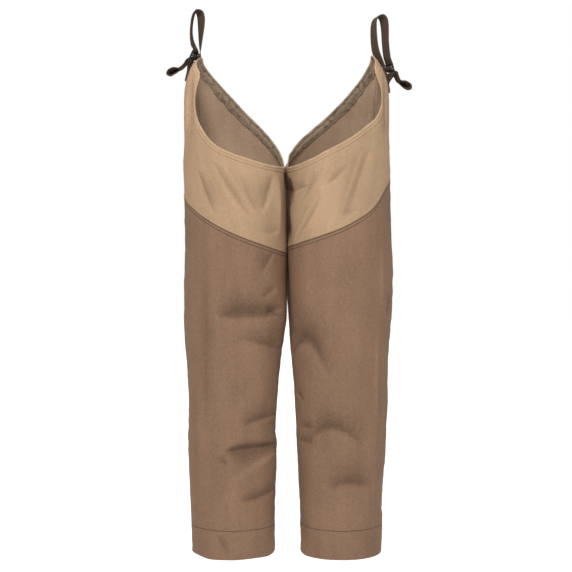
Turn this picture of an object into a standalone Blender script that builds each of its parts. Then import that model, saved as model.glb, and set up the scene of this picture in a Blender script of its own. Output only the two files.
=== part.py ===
"""Upland chaps: two separate cloth legs, each hung from a belt by its own webbing loop.

The legs keep the filled-out shape that they have when worn. +Z is up, the front faces -Y, and "left" and
"right" are as seen from the front. The origin is on the belt line, midway between the two belt loops.
"""
from bisect import bisect_right
from math import cos, hypot, radians, sin

import bmesh
import bpy
from mathutils import Vector

MILLIMETRE = 0.001

# Cloth and seams, in millimetres.
WALL = 1.5
HEM_WALL = 3.0
HEM_DEPTH = 58.0
HEM_HEIGHT = -1069.0
HEM_STEP = 2.0
SEAM_GAP = 0.3
BAND_GAP = 0.45
TURNED_EDGE = 1.2
FRONT_BAND = 10.0
BACK_BAND = 19.0
STEEPEST_BACK_BAND = 46.0
FACING_TRIM = 0.3
EDGE_STEP = 1.0
SLOPE_DEGREES = 0.5
SLOPE_RISE = 1.0
SIDES = {"left": -1, "right": 1}

# Seams that run down a leg, as angles round it.
INSEAM = 0.0
OUTSEAM = 180.0
FULL_TURN = 360.0

# How finely each panel is divided.
FRONT_COLUMNS = 22
BACK_COLUMNS = 15
YOKE_ROWS = 9
SHIELD_ROWS = 20
BACK_ROWS = 22
HEM_ROWS = 2

# Webbing and buckle, in millimetres.
WEBBING_WIDTH = 20.0
WEBBING = 1.6
TAB_WEBBING = 1.2
WEBBING_STRANDS = 3
BUCKLE_BAR = 3.0
BUCKLE_RAIL = 3.0
BUCKLE_LENGTH = 23.5
BUCKLE_OPENING = 21.0
BUCKLE_SLOTS = ((3.0, 8.0), (11.0, 20.0))
OPEN_COLUMN = 1
OPEN_ROWS = (1, 3)
THREAD_LEAD = 2.0
THREAD_EASE = 0.5
THREAD_TURN = 2.5
THREAD_EXIT = 4.5
TAB_REACH = 1.2
TAB_SHOULDER = 1.4
TAB_CROWN = 3.2

# Round a leg, 0 degrees is the inseam, 90 the front, 180 the outer side and 270 the back.
# Outer and inner are measured outward from the middle between the legs. Front and back are
# half depths, and lean is how far back the middle of the section sits. Each row holds the height,
# outer, inner, front, back and lean.
SECTIONS = {
    "left": (
        (-84, 165, 131, 9, 9, 4),
        (-94, 177, 116, 14, 14, 3.7),
        (-106, 187, 95, 22, 22, 3.3),
        (-120, 192, 74, 33, 33, 2.8),
        (-140, 197, 46, 47, 47, 2.2),
        (-170, 199.5, 20, 64, 65, 1.2),
        (-208, 200, 8, 80, 82, 0),
        (-255, 200.5, 3.5, 91, 93, 0),
        (-302, 201, 2.5, 96, 98, 0),
        (-365, 199.5, -0.8, 97, 99, 0),
        (-450, 199.8, -1.6, 96, 97, 1),
        (-523, 201.2, -1.6, 93, 94, 2),
        (-602, 201.3, -1.2, 89, 91, 3),
        (-642, 200.3, 5.5, 87, 90, 4),
        (-722, 195.5, 15, 82, 87, 5),
        (-783, 193.5, 19, 79, 84, 6),
        (-823, 195, 21, 77, 82, 6),
        (-852, 195.4, 18, 77, 80, 6),
        (-965, 191.8, 21, 75, 76, 5),
        (-1069, 188.3, 23, 75, 75, 4),
    ),
    "right": (
        (-80, 168, 131, 9, 9, 4),
        (-90, 178, 116, 14, 14, 3.7),
        (-102, 187, 96, 21, 21, 3.3),
        (-116, 194, 75, 32, 32, 2.9),
        (-138, 200.5, 46, 47, 47, 2.2),
        (-170, 203, 20, 64, 65, 1.2),
        (-208, 203, 8, 80, 82, 0),
        (-255, 202.5, 4, 91, 93, 0),
        (-302, 203.5, 2, 96, 98, 0),
        (-365, 206, 2, 97, 99, 0),
        (-450, 208.5, 2.6, 96, 97, 1),
        (-523, 211.3, 2.6, 94, 95, 2),
        (-602, 208.6, 6, 90, 92, 3),
        (-656, 205.5, 8.5, 87, 90, 4),
        (-722, 202.7, 15, 83, 88, 5),
        (-781, 202.5, 18.5, 80, 85, 6),
        (-843, 200.5, 21, 77, 81, 6),
        (-924, 194.8, 25, 75, 77, 5),
        (-979, 191.5, 27, 75, 76, 5),
        (-997, 193.5, 28, 75, 76, 5),
        (-1069, 191.3, 30, 75, 75, 4),
    ),
}

# The angle and height of places along each free edge and along the seam under the yoke.
FRONT_EDGES = {
    "left": (
        (0, -302), (30, -299.5), (50, -296), (70, -287), (91, -275), (111, -257), (128, -225), (137, -195),
        (138.5, -167), (131, -139), (126, -122), (131, -110), (145, -99), (163, -90), (180, -86),
    ),
    "right": (
        (0, -302), (32, -298), (59, -284), (74, -271), (91, -256), (108, -238), (121, -222), (133, -208),
        (142, -190), (146.5, -170), (143, -150), (137, -132), (131, -115), (134, -103), (147, -93), (163, -86),
        (180, -82),
    ),
}
BACK_EDGES = {
    "left": (
        (180, -86), (212, -87), (232, -92), (249, -106), (260, -128), (269, -152), (284, -188), (305, -224),
        (330, -262), (345, -283), (360, -302),
    ),
    "right": (
        (180, -82), (212, -83), (230, -90), (245, -106), (254, -128), (270, -170), (291, -209), (319, -246),
        (344, -279), (360, -302),
    ),
}
YOKE_SEAMS = {
    "left": (
        (0, -471), (28, -464), (47, -456), (78, -438), (105, -417), (126, -398), (143, -382), (157, -371),
        (170, -360), (180, -354),
    ),
    "right": (
        (0, -459), (29, -452), (61, -437), (89, -419), (107, -403), (126, -383), (143, -356), (153, -340),
        (168, -328), (180, -323),
    ),
}

# A fold runs from its start through its middle to its end. Its width is half the cloth it takes up, and
# its depth is below the plain surface where it is negative and above it where it is positive.
FOLD_COLUMNS = ("start_angle", "start_height", "middle_angle", "middle_height", "end_angle", "end_height",
                "width", "depth")
FOLDS = {
    "left": (
        (152, -118, 149, -156, 146, -200, 11, -3),
        (138, -276, 116, -278, 97, -326, 16, -4),
        (99, -318, 86, -358, 72, -395, 15, -4),
        (132, -325, 122, -358, 112, -388, 14, -3),
        (78, -330, 68, -362, 56, -384, 13, -4),
        (58, -384, 50, -358, 44, -328, 11, -4),
        (35, -310, 37, -341, 37, -370, 12, -3),
        (46, -474, 50, -488, 54, -505, 14, -3),
        (38, -532, 48, -546, 57, -560, 14, -3),
        (110, -592, 95, -566, 78, -560, 15, -3.5),
        (84, -560, 55, -580, 18, -577, 15, -4),
        (80, -636, 50, -657, 10, -672, 15, -4),
        (10, -789, 40, -787, 74, -807, 15, -4),
        (4, -841, 50, -833, 99, -853, 15, -5.5),
        (60, -872, 84, -889, 97, -914, 14, -3.5),
        (28, -860, 60, -893, 92, -922, 14, 3),
        (38, -904, 47, -925, 56, -945, 14, -3),
        (136, -600, 139, -715, 140, -830, 18, -3),
        (114, -1012, 100, -1043, 88, -1076, 13, -2.5),
        (92, -930, 91, -1000, 90, -1080, 34, 3),
        (222, -120, 221, -180, 219, -245, 14, -3),
        (264, -320, 250, -390, 234, -456, 22, -4),
        (338, -356, 306, -380, 278, -424, 18, -4),
        (206, -640, 264, -622, 326, -648, 18, -4.5),
        (222, -584, 262, -600, 304, -588, 16, -3.5),
        (306, -704, 268, -718, 228, -704, 17, -3.5),
        (204, -842, 250, -858, 304, -846, 17, -4.5),
        (236, -930, 280, -948, 326, -934, 16, -3.5),
    ),
    "right": (
        (-44, -358, 4, -350, 52, -350, 15, -12),
        (92, -290, 76, -320, 69, -360, 16, -4),
        (71, -352, 62, -389, 46, -426, 15, -4),
        (117, -284, 106, -335, 96, -378, 18, -5),
        (18, -425, 38, -434, 66, -384, 13, -4),
        (18, -622, 54, -631, 70, -696, 17, -6),
        (14, -663, 34, -668, 52, -658, 15, -3),
        (12, -805, 28, -804, 44, -801, 14, -3),
        (12, -840, 32, -843, 52, -841, 14, -3.5),
        (44, -838, 76, -813, 118, -842, 16, -4.5),
        (48, -862, 63, -866, 78, -861, 14, 3),
        (68, -933, 100, -905, 138, -931, 15, -4.5),
        (149, -352, 142, -474, 144, -590, 11, 3),
        (144, -560, 137, -687, 140, -930, 11, 3),
        (150, -542, 156, -566, 150, -590, 10, -3),
        (92, -940, 91, -1005, 90, -1080, 34, 2.5),
        (224, -118, 222, -180, 220, -250, 14, -3),
        (258, -330, 246, -396, 232, -470, 22, -4),
        (300, -380, 276, -420, 250, -452, 18, -3.5),
        (208, -628, 262, -644, 330, -624, 18, -4.5),
        (226, -688, 266, -672, 306, -690, 16, -3.5),
        (318, -742, 280, -760, 240, -748, 17, -3.5),
        (206, -866, 256, -850, 310, -868, 17, -4.5),
        (230, -952, 272, -938, 318, -950, 16, -3.5),
    ),
}
FOLD_STEPS = 8
DEGREE_OF_CLOTH = 1.7

# The webbing's centre line: outward, back, height, and how far its width turns outward from straight back.
LOOPS = {
    "left": (
        (173, 17, -94, -38), (169.5, 16, -84, -20), (168.5, 13.5, -72, -4), (168, 12.5, -57, 10),
        (167, 12, -38, 20), (166.3, 12, -20, 25), (166.8, 12, -7, 26), (169.5, 12, 1.5, 26), (174, 12, 5, 26),
        (178.5, 12, 2.5, 25), (182.3, 12, -5.5, 22), (184.8, 12, -19, 16), (186, 12, -35, 8),
        (185, 12, -50, -4), (181.5, 12, -63, -20),
    ),
    "right": (
        (187, 15.5, -102, -48), (184, 15, -93, -46), (180, 14.5, -83, -44), (176.5, 14, -73, -42),
        (174, 13, -60, -38), (172.5, 12, -45, -35), (172, 12, -31, -34), (172.6, 12, -19, -34),
        (175.5, 12, -10, -34), (180.5, 12, -5.4, -34), (186, 12, -5.4, -34), (190.5, 12, -10, -34),
        (193, 12, -19, -36), (194.3, 12, -34, -38), (195, 12, -52, -38), (196.5, 12, -70, -38),
        (198.8, 12, -86, -38),
    ),
}
SEWN_ENDS = {
    "left": ((203, -132), (204, -122), (206, -112), (211, -102)),
    "right": ((202, -152), (203, -140), (204, -128), (205, -118), (207, -110)),
}
SEWN_OUTSET = 0.8
TAB_OUTSET = 2.9
TAB_ENDS = {
    "left": ((203, -133), (204, -124), (206, -114)),
    "right": ((202, -155), (203, -146), (204, -137)),
}
BUCKLES = {
    "left": {"top": (176, 12, -75), "bottom": (186, 12, -96.3), "turn": -34},
    "right": {"top": (200.5, 12, -98), "bottom": (206.5, 12, -120.8), "turn": -38},
}
# Past the buckle the webbing runs out as a tail. Its end is folded over and tacked, which leaves an eye.
TAILS = {
    "left": (
        (191.5, 11, -91, -26), (197.5, 11, -98.5, -14), (205, 11, -105.5, -8), (211, 11, -108.8, -5),
        (216, 11, -107.3, -4), (222, 11, -108, -4), (227.5, 11, -112, -4), (231, 11, -118, -4),
        (230, 11, -121.8, -4), (225, 11, -121.5, -4), (218, 11, -117.5, -4), (211.5, 11, -112.2, -4),
    ),
    "right": (
        (213, 11, -114.5, -34), (217.5, 11, -123.5, -18), (221, 11, -130.5, -12), (225.5, 11, -133.6, -10),
        (231, 11, -133.4, -10), (237, 11, -136.5, -10), (242, 11, -141.5, -10), (243, 11, -145.5, -10),
        (239, 11, -147.8, -10), (232, 11, -145.5, -10), (225, 11, -138.8, -10),
    ),
}
LOOP_STATIONS = 26
TAIL_STATIONS = 18

# Base colour, roughness and metallic value of each cloth and fitting.
FINISHES = {
    "canvas": ((0.52, 0.37, 0.23, 1.0), 0.85, 0.0),
    "nylon": ((0.28, 0.18, 0.125, 1.0), 0.75, 0.0),
    "facing": ((0.26, 0.19, 0.125, 1.0), 0.85, 0.0),
    "webbing": ((0.075, 0.055, 0.045, 1.0), 0.8, 0.0),
    "buckle": ((0.012, 0.012, 0.014, 1.0), 0.4, 0.0),
}


RISING_SECTIONS = {side: tuple(reversed(rows)) for side, rows in SECTIONS.items()}


def smooth_curve(points, at):
    """A smooth curve through rows whose first number is the place along it, read at one place."""
    places = [row[0] for row in points]
    at = min(max(at, places[0]), places[-1])
    index = min(bisect_right(places, at) - 1, len(points) - 2)
    here, there = points[index], points[index + 1]
    before = points[index - 1] if index > 0 else None
    after = points[index + 2] if index + 2 < len(points) else None
    span = there[0] - here[0]
    t = (at - here[0]) / span
    values = []
    for column in range(1, len(here)):
        slope = (there[column] - here[column]) / span
        start = slope if before is None else (there[column] - before[column]) / (there[0] - before[0])
        end = slope if after is None else (after[column] - here[column]) / (after[0] - here[0])
        values.append((2 * t ** 3 - 3 * t ** 2 + 1) * here[column] + (t ** 3 - 2 * t ** 2 + t) * span * start
                      + (3 * t ** 2 - 2 * t ** 3) * there[column] + (t ** 3 - t ** 2) * span * end)
    return values


def measured(rows, distance):
    """The rows again, each led by its distance along the curve that they make."""
    along = 0.0
    result = [(along, *rows[0])]
    for before, after in zip(rows, rows[1:]):
        along += distance(before, after)
        result.append((along, *after))
    return result


def bare_point(side, angle, height):
    """The plain leg surface without its folds: outward, back and up, in millimetres."""
    outer, inner, front, back, lean = smooth_curve(RISING_SECTIONS[side], height)
    turn = radians(angle)
    depth = front if sin(turn) > 0 else back
    outward = (outer + inner) / 2 - (outer - inner) / 2 * cos(turn)
    return Vector((outward, lean - depth * sin(turn), height))


def surface_slopes(side, angle, height):
    """How the plain surface moves for one degree round the leg and for one millimetre up."""
    around = bare_point(side, angle + SLOPE_DEGREES, height) - bare_point(side, angle - SLOPE_DEGREES, height)
    up = bare_point(side, angle, height + SLOPE_RISE) - bare_point(side, angle, height - SLOPE_RISE)
    return around / (2 * SLOPE_DEGREES), up / (2 * SLOPE_RISE)


def outward_normal(side, angle, height):
    """The direction straight out of the cloth."""
    around, up = surface_slopes(side, angle, height)
    return around.cross(up).normalized()


def fold_curve(fold):
    """Points along one fold, each with its angle and height, and its share of the way from 0 to 1."""
    places = dict(zip(FOLD_COLUMNS, fold))
    for step in range(FOLD_STEPS + 1):
        t = step / FOLD_STEPS
        first, second, third = (1 - t) * (1 - 2 * t), 4 * t * (1 - t), t * (2 * t - 1)
        yield (first * places["start_angle"] + second * places["middle_angle"] + third * places["end_angle"],
               first * places["start_height"] + second * places["middle_height"] + third * places["end_height"], t)


def soft_step(value):
    """Eases from 0 to 1."""
    value = min(max(value, 0.0), 1.0)
    return value * value * (3 - 2 * value)


def fold_lift(side, angle, height):
    """How far the folds move the cloth out of the plain surface, or into it."""
    lift = 0.0
    for fold, curve in zip(FOLDS[side], FOLD_CURVES[side]):
        width, depth = fold[-2:]
        nearest, share = nearest_on_fold(curve, angle, height)
        if nearest < width:
            fade = soft_step(4 * min(share, 1 - share))
            lift += depth * fade * soft_step(1 - nearest / width)
    return lift


def nearest_on_fold(curve, angle, height):
    """Distance in millimetres from a place on the cloth to a fold, and how far along the fold that is."""
    best, share = float("inf"), 0.0
    turn = FULL_TURN * round((angle - curve[FOLD_STEPS // 2][0]) / FULL_TURN)
    for before, after in zip(curve, curve[1:]):
        run = (after[0] - before[0]) * DEGREE_OF_CLOTH, after[1] - before[1]
        offset = (angle - turn - before[0]) * DEGREE_OF_CLOTH, height - before[1]
        t = min(max((run[0] * offset[0] + run[1] * offset[1]) / (run[0] ** 2 + run[1] ** 2), 0.0), 1.0)
        distance = hypot(offset[0] - t * run[0], offset[1] - t * run[1])
        if distance < best:
            best, share = distance, before[2] + t * (after[2] - before[2])
    return best, share


FOLD_CURVES = {side: [list(fold_curve(fold)) for fold in rows] for side, rows in FOLDS.items()}


def cloth_point(side, angle, height, outset=0.0):
    """A place on the folded cloth, moved straight out of it by the outset."""
    lift = outset + fold_lift(side, angle, height)
    return bare_point(side, angle, height) + lift * outward_normal(side, angle, height)


def in_world(side, place):
    """From outward, back and up in millimetres to the world's metres."""
    return Vector((SIDES[side] * place.x, place.y, place.z)) * MILLIMETRE


def blend(first, second, share):
    """Part of the way from one row to another."""
    return tuple(a + (b - a) * share for a, b in zip(first, second))


def cloth_distance(side):
    """A measure of the way along the cloth between two rows of angle and height."""
    return lambda before, after: (bare_point(side, *after) - bare_point(side, *before)).length


def step_into_cloth(side, place, ahead, distance):
    """The place that lies a distance below an edge, square to the edge's own direction."""
    around, up = surface_slopes(side, *place)
    along = ahead[0] - place[0], ahead[1] - place[1]
    across = (around.dot(up) * along[0] + up.dot(up) * along[1],
              -(around.dot(around) * along[0] + around.dot(up) * along[1]))
    length = (around * across[0] + up * across[1]).length
    return tuple(value + distance * part / length for value, part in zip(place, across))


def front_edge_places(side):
    """The yoke's top edge, evenly divided from the inseam to the tip, and the line one band below it."""
    curve = measured(FRONT_EDGES[side], cloth_distance(side))
    length = curve[-1][0]
    edge, below = [], []
    for column in range(FRONT_COLUMNS + 1):
        along = length * column / FRONT_COLUMNS
        place = tuple(smooth_curve(curve, along))
        start = tuple(smooth_curve(curve, min(along, length - EDGE_STEP)))
        ahead = tuple(smooth_curve(curve, min(along, length - EDGE_STEP) + EDGE_STEP))
        edge.append(place)
        below.append(step_into_cloth(side, start, ahead, FRONT_BAND))
    below[0] = INSEAM, edge[0][1] - FRONT_BAND
    below[-1] = OUTSEAM, edge[-1][1] - FRONT_BAND
    return edge, below


def seam_places(side, half_gap):
    """The seam under the yoke at each column, moved up or down by half the seam's gap."""
    places = []
    for column in range(FRONT_COLUMNS + 1):
        angle = INSEAM + (OUTSEAM - INSEAM) * column / FRONT_COLUMNS
        places.append((angle, smooth_curve(YOKE_SEAMS[side], angle)[0] + half_gap))
    return places


def hem_rows(top_places, rows):
    """Rows of places from a top line down to the hem, with a close pair where the turned hem begins."""
    turned = HEM_HEIGHT + HEM_DEPTH
    grid = []
    for row in range(rows + 1):
        grid.append([blend(place, (place[0], turned + HEM_STEP), row / rows) for place in top_places])
    for row in range(HEM_ROWS + 1):
        grid.append([(place[0], turned - HEM_DEPTH * row / HEM_ROWS) for place in top_places])
    return grid


def clear_of_seams(side, grid):
    """The grid with its two side columns moved back by half the gap of the seams that they lie on."""
    for row in grid:
        for column, away in ((0, 1), (-1, -1)):
            angle, height = row[column]
            per_degree = surface_slopes(side, angle, height)[0].length
            row[column] = angle + away * SEAM_GAP / 2 / per_degree, height
    return grid


def yoke_grid(side):
    edge, below = front_edge_places(side)
    seam = seam_places(side, SEAM_GAP / 2)
    grid = [edge]
    for row in range(YOKE_ROWS + 1):
        grid.append([blend(upper, lower, row / YOKE_ROWS) for upper, lower in zip(below, seam)])
    return clear_of_seams(side, grid)


def shield_grid(side):
    return clear_of_seams(side, hem_rows(seam_places(side, -SEAM_GAP / 2), SHIELD_ROWS))


def back_grid(side):
    edge, below = [], []
    for column in range(BACK_COLUMNS + 1):
        angle = OUTSEAM + (FULL_TURN - OUTSEAM) * column / BACK_COLUMNS
        height = smooth_curve(BACK_EDGES[side], angle)[0]
        rise = smooth_curve(BACK_EDGES[side], angle - 1)[0] - smooth_curve(BACK_EDGES[side], angle + 1)[0]
        run = 2 * surface_slopes(side, angle, height)[0].length
        band = min(BACK_BAND * hypot(1, rise / run), STEEPEST_BACK_BAND)
        edge.append((angle, height))
        below.append((angle, height - band))
    return clear_of_seams(side, [edge] + hem_rows(below, BACK_ROWS))


def wall_inset(place):
    """The cloth is doubled where the hem is turned up."""
    return -HEM_WALL if place[1] <= HEM_HEIGHT + HEM_DEPTH + HEM_STEP / 2 else -WALL


def finish(name):
    """A material with the colour, roughness and metallic value of one cloth or fitting."""
    material = bpy.data.materials.get(name) or bpy.data.materials.new(name)
    colour, roughness, metallic = FINISHES[name]
    material.use_nodes = True
    shader = material.node_tree.nodes["Principled BSDF"]
    shader.inputs["Base Color"].default_value = colour
    shader.inputs["Roughness"].default_value = roughness
    shader.inputs["Metallic"].default_value = metallic
    return material


def as_object(name, mesh_builder, material_name):
    """Turns a closed bmesh into a named object with its faces pointing out."""
    bmesh.ops.recalc_face_normals(mesh_builder, faces=mesh_builder.faces)
    if mesh_builder.calc_volume(signed=True) < 0:
        bmesh.ops.reverse_faces(mesh_builder, faces=mesh_builder.faces)
    mesh = bpy.data.meshes.new(name)
    mesh_builder.to_mesh(mesh)
    mesh_builder.free()
    mesh.shade_smooth()
    mesh.materials.append(finish(material_name))
    made = bpy.data.objects.new(name, mesh)
    bpy.context.scene.collection.objects.link(made)
    return made


def thick_sheet(name, outside, inside, material_name):
    """A closed panel between two grids of world points, cut into triangles the same way on both faces."""
    rows, columns = len(outside) - 1, len(outside[0]) - 1
    builder = bmesh.new()
    grid = bmesh.ops.create_grid(builder, x_segments=columns, y_segments=rows, size=1)["verts"]
    places = {}
    for vertex in grid:
        column = round((vertex.co.x + 1) / 2 * columns)
        row = round((vertex.co.y + 1) / 2 * rows)
        places[vertex] = (row, column)
    bmesh.ops.triangulate(builder, faces=builder.faces[:], quad_method="FIXED")
    for vertex, (row, column) in places.items():
        vertex.co = outside[row][column]
    back = bmesh.ops.duplicate(builder, geom=builder.faces[:] + builder.edges[:] + builder.verts[:])
    for vertex, copy in back["vert_map"].items():
        if vertex in places:
            copy.co = inside[places[vertex][0]][places[vertex][1]]
    rims = [edge for edge in builder.edges if edge.is_boundary]
    bmesh.ops.bridge_loops(builder, edges=rims)
    return as_object(name, builder, material_name)


def make_panel(name, side, grid, material_name):
    """A panel of cloth: its face is the leg's surface, and its wall goes inward."""
    outside = [[in_world(side, cloth_point(side, *place)) for place in row] for row in grid]
    inside = [[in_world(side, cloth_point(side, *place, wall_inset(place))) for place in row] for row in grid]
    thick_sheet(name, outside, inside, material_name)


def make_band(name, side, grid, outer_outset, inner_outset, trim, material_name):
    """A band on a panel's first row, made from that panel's points, with a share of its end cells left off."""
    faces = []
    for outset in (outer_outset, inner_outset):
        face = [[in_world(side, cloth_point(side, *place, outset)) for place in row] for row in grid]
        for row in face:
            row[0] = row[0].lerp(row[1], trim)
            row[-1] = row[-1].lerp(row[-2], trim)
        faces.append(face)
    thick_sheet(name, *faces, material_name)


def across_webbing():
    """Places across the webbing, from one edge to the other."""
    return [WEBBING_WIDTH * (2 * strand / WEBBING_STRANDS - 1) / 2 for strand in range(WEBBING_STRANDS + 1)]


def wall_strand(side, angle, height, outset):
    """The webbing's width laid on the cloth: points across it and the way out at each."""
    per_degree = surface_slopes(side, angle, height)[0].length
    points, normals = [], []
    for across in across_webbing():
        there = angle + across / per_degree
        normal = outward_normal(side, there, height)
        points.append(bare_point(side, there, height) + outset * normal)
        normals.append(normal)
    return points, normals


def free_strand(centre, width, ahead):
    """The webbing's width in the air: points along the width's direction and the way out, square to its run."""
    normal = width.cross(ahead).normalized()
    points = [centre + width * across for across in across_webbing()]
    return points, [normal] * len(points)


def width_direction(turn):
    """The way that the webbing's width points: straight back, turned outward by an angle."""
    return Vector((sin(radians(turn)), cos(radians(turn)), 0.0))


def free_strands(table, stations):
    """The webbing's width at even steps along the smooth curve through a table of its centre line."""
    curve = measured(table, lambda before, after: (Vector(after[:3]) - Vector(before[:3])).length)
    rows = [smooth_curve(curve, curve[-1][0] * step / (stations - 1)) for step in range(stations)]
    centres = [Vector(row[:3]) for row in rows]
    strands = []
    for index, row in enumerate(rows):
        before, after = centres[max(index - 1, 0)], centres[min(index + 1, len(rows) - 1)]
        strands.append(free_strand(centres[index], width_direction(row[3]), after - before))
    return strands


def make_webbing(name, side, strands, thickness, material_name):
    """A closed ribbon of webbing through its strands."""
    half = thickness / 2
    outside = [[in_world(side, point + half * normal) for point, normal in zip(*strand)] for strand in strands]
    inside = [[in_world(side, point - half * normal) for point, normal in zip(*strand)] for strand in strands]
    thick_sheet(name, outside, inside, material_name)


def buckle_axes(side):
    """The buckle's middle of the top bar, and the directions down it, across it and out of it."""
    buckle = BUCKLES[side]
    top, bottom = Vector(buckle["top"]), Vector(buckle["bottom"])
    down = (bottom - top).normalized()
    across = width_direction(buckle["turn"])
    across = (across - across.dot(down) * down).normalized()
    out = down.cross(across).normalized()
    return top, down, across, out


def buckle_strands(side, route):
    """The webbing's width at each place of a route given as the way down the buckle and out of it."""
    top, down, across, out = buckle_axes(side)
    strands = []
    for index, (along, proud) in enumerate(route):
        before, after = route[max(index - 1, 0)], route[min(index + 1, len(route) - 1)]
        ahead = down * (after[0] - before[0]) + out * (after[1] - before[1])
        strands.append(free_strand(top + down * along + out * proud, across, ahead))
    return strands


def threaded_strands(side):
    """The webbing passes over the top bar, behind the middle bar and out again above the lower bar."""
    (first_top, first_end), (second_top, second_end) = BUCKLE_SLOTS
    lift = BUCKLE_BAR / 2 + WEBBING / 2 + 2 * SEAM_GAP
    return buckle_strands(side, (
        (-THREAD_LEAD, lift), (first_top + THREAD_EASE, lift), ((first_top + first_end) / 2, 0.0),
        (first_end - THREAD_EASE, -lift), (second_top + THREAD_EASE, -lift), (second_top + THREAD_TURN, 0.0),
        (second_top + THREAD_EXIT, lift),
    ))


def make_belt_loop(side):
    """One length of webbing: sewn end, loop over the belt, way through the buckle, and tail."""
    outset = SEWN_OUTSET + WEBBING / 2
    sewn = [wall_strand(side, angle, height, outset) for angle, height in SEWN_ENDS[side]]
    loop, tail = free_strands(LOOPS[side], LOOP_STATIONS), free_strands(TAILS[side], TAIL_STATIONS)
    strands = sewn + loop + threaded_strands(side) + tail
    make_webbing("belt_loop_" + side, side, strands, WEBBING, "webbing")


def make_tab(side):
    """Webbing folded round the buckle's lower bar, both ends sewn to the hip tip over the belt loop's end."""
    clear = BUCKLE_BAR / 2 + TAB_WEBBING / 2 + SEAM_GAP
    bar_middle = (BUCKLE_SLOTS[1][1] + BUCKLE_LENGTH) / 2
    folded = buckle_strands(side, (
        (bar_middle + TAB_REACH, -clear), (bar_middle - TAB_SHOULDER, -clear), (bar_middle - TAB_CROWN, -clear / 2),
        (bar_middle - TAB_CROWN, clear / 2), (bar_middle - TAB_SHOULDER, clear), (bar_middle + TAB_REACH, clear),
    ))
    under_outset = TAB_OUTSET + TAB_WEBBING / 2
    over_outset = under_outset + TAB_WEBBING + SEAM_GAP
    under = [wall_strand(side, angle, height, under_outset) for angle, height in TAB_ENDS[side]]
    over = []
    for angle, height in reversed(TAB_ENDS[side]):
        points, normals = wall_strand(side, angle, height, over_outset)
        over.append((points, [-normal for normal in normals]))
    make_webbing("buckle_tab_" + side, side, under + folded + over, TAB_WEBBING, "webbing")


def make_buckle(side):
    """A plastic ladder buckle: two rails and three bars, with two slots between them."""
    top, down, across, out = buckle_axes(side)
    half_width = BUCKLE_OPENING / 2 + BUCKLE_RAIL
    columns = (-half_width, -BUCKLE_OPENING / 2, BUCKLE_OPENING / 2, half_width)
    rows = (0.0, *BUCKLE_SLOTS[0], *BUCKLE_SLOTS[1], BUCKLE_LENGTH)
    builder = bmesh.new()
    corners = [[builder.verts.new(top + down * row + across * column - out * BUCKLE_BAR / 2)
                for column in columns] for row in rows]
    for row in range(len(rows) - 1):
        for column in range(len(columns) - 1):
            if column == OPEN_COLUMN and row in OPEN_ROWS:
                continue
            builder.faces.new((corners[row][column], corners[row][column + 1],
                               corners[row + 1][column + 1], corners[row + 1][column]))
    raised = bmesh.ops.extrude_face_region(builder, geom=builder.faces[:])
    bmesh.ops.translate(builder, vec=out * BUCKLE_BAR,
                        verts=[item for item in raised["geom"] if isinstance(item, bmesh.types.BMVert)])
    for vertex in builder.verts:
        vertex.co = in_world(side, vertex.co)
    as_object("buckle_" + side, builder, "buckle")


def make_leg(side):
    yoke, shield, back = yoke_grid(side), shield_grid(side), back_grid(side)
    make_panel("front_yoke_" + side, side, yoke, "canvas")
    make_panel("front_shield_" + side, side, shield, "nylon")
    make_panel("back_panel_" + side, side, back, "nylon")
    make_band("front_binding_" + side, side, yoke[:2], BAND_GAP + TURNED_EDGE, BAND_GAP, 0.0, "canvas")
    under = -WALL - BAND_GAP
    make_band("back_facing_" + side, side, back[:2], under, under - TURNED_EDGE, FACING_TRIM, "facing")
    make_belt_loop(side)
    make_tab(side)
    make_buckle(side)


def main():
    for old in list(bpy.data.objects):
        bpy.data.objects.remove(old)
    for side in SIDES:
        make_leg(side)


if __name__ == "__main__":
    main()
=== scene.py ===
"""Upland chaps: the looks of two cloth legs that each hang from a belt by a webbing loop.

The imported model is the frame. The cloth is laid on the same sections, edges and folds as the solids, in finer
steps, with the creases, seams, stitches and weave that the solids leave out. Lengths in the tables are in
millimetres. "Left" and "right" are as seen from the front, which faces -Y.
"""
from math import cos, hypot, pi, radians, sin

import bmesh
import bpy
import numpy as np
from bpy.props import FloatProperty, FloatVectorProperty, PointerProperty
from bpy.types import Operator, Panel, PropertyGroup
from mathutils import Matrix, Vector


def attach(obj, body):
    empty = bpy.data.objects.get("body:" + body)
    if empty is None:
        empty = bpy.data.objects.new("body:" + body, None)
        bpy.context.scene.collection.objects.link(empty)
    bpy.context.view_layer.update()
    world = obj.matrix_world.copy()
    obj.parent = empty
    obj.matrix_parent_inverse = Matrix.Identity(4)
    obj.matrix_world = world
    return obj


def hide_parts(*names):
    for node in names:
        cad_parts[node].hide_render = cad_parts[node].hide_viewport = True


bl_info = {
    "name": "Upland chaps",
    "version": (1, 0, 0),
    "blender": (4, 5, 0),
    "location": "3D View > Sidebar > Chaps",
    "description": "Dresses a pair of hollow cloth legs with cloth, seams, stitches, webbing and buckles",
    "category": "Object",
}

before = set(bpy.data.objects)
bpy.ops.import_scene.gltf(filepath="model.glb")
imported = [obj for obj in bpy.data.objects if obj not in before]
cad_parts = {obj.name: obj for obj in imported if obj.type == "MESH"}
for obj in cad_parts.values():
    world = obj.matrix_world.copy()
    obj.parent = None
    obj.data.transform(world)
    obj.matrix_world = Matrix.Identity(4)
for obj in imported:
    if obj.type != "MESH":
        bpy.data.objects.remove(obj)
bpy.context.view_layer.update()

MILLIMETRE = 0.001
BODY = "root"
SIDES = {"left": -1, "right": 1}
SEEDS = {"left": 11, "right": 47}

# Seams round a leg, as angles.
INSEAM = 0.0
OUTSEAM = 180.0
FULL_TURN = 360.0

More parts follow.
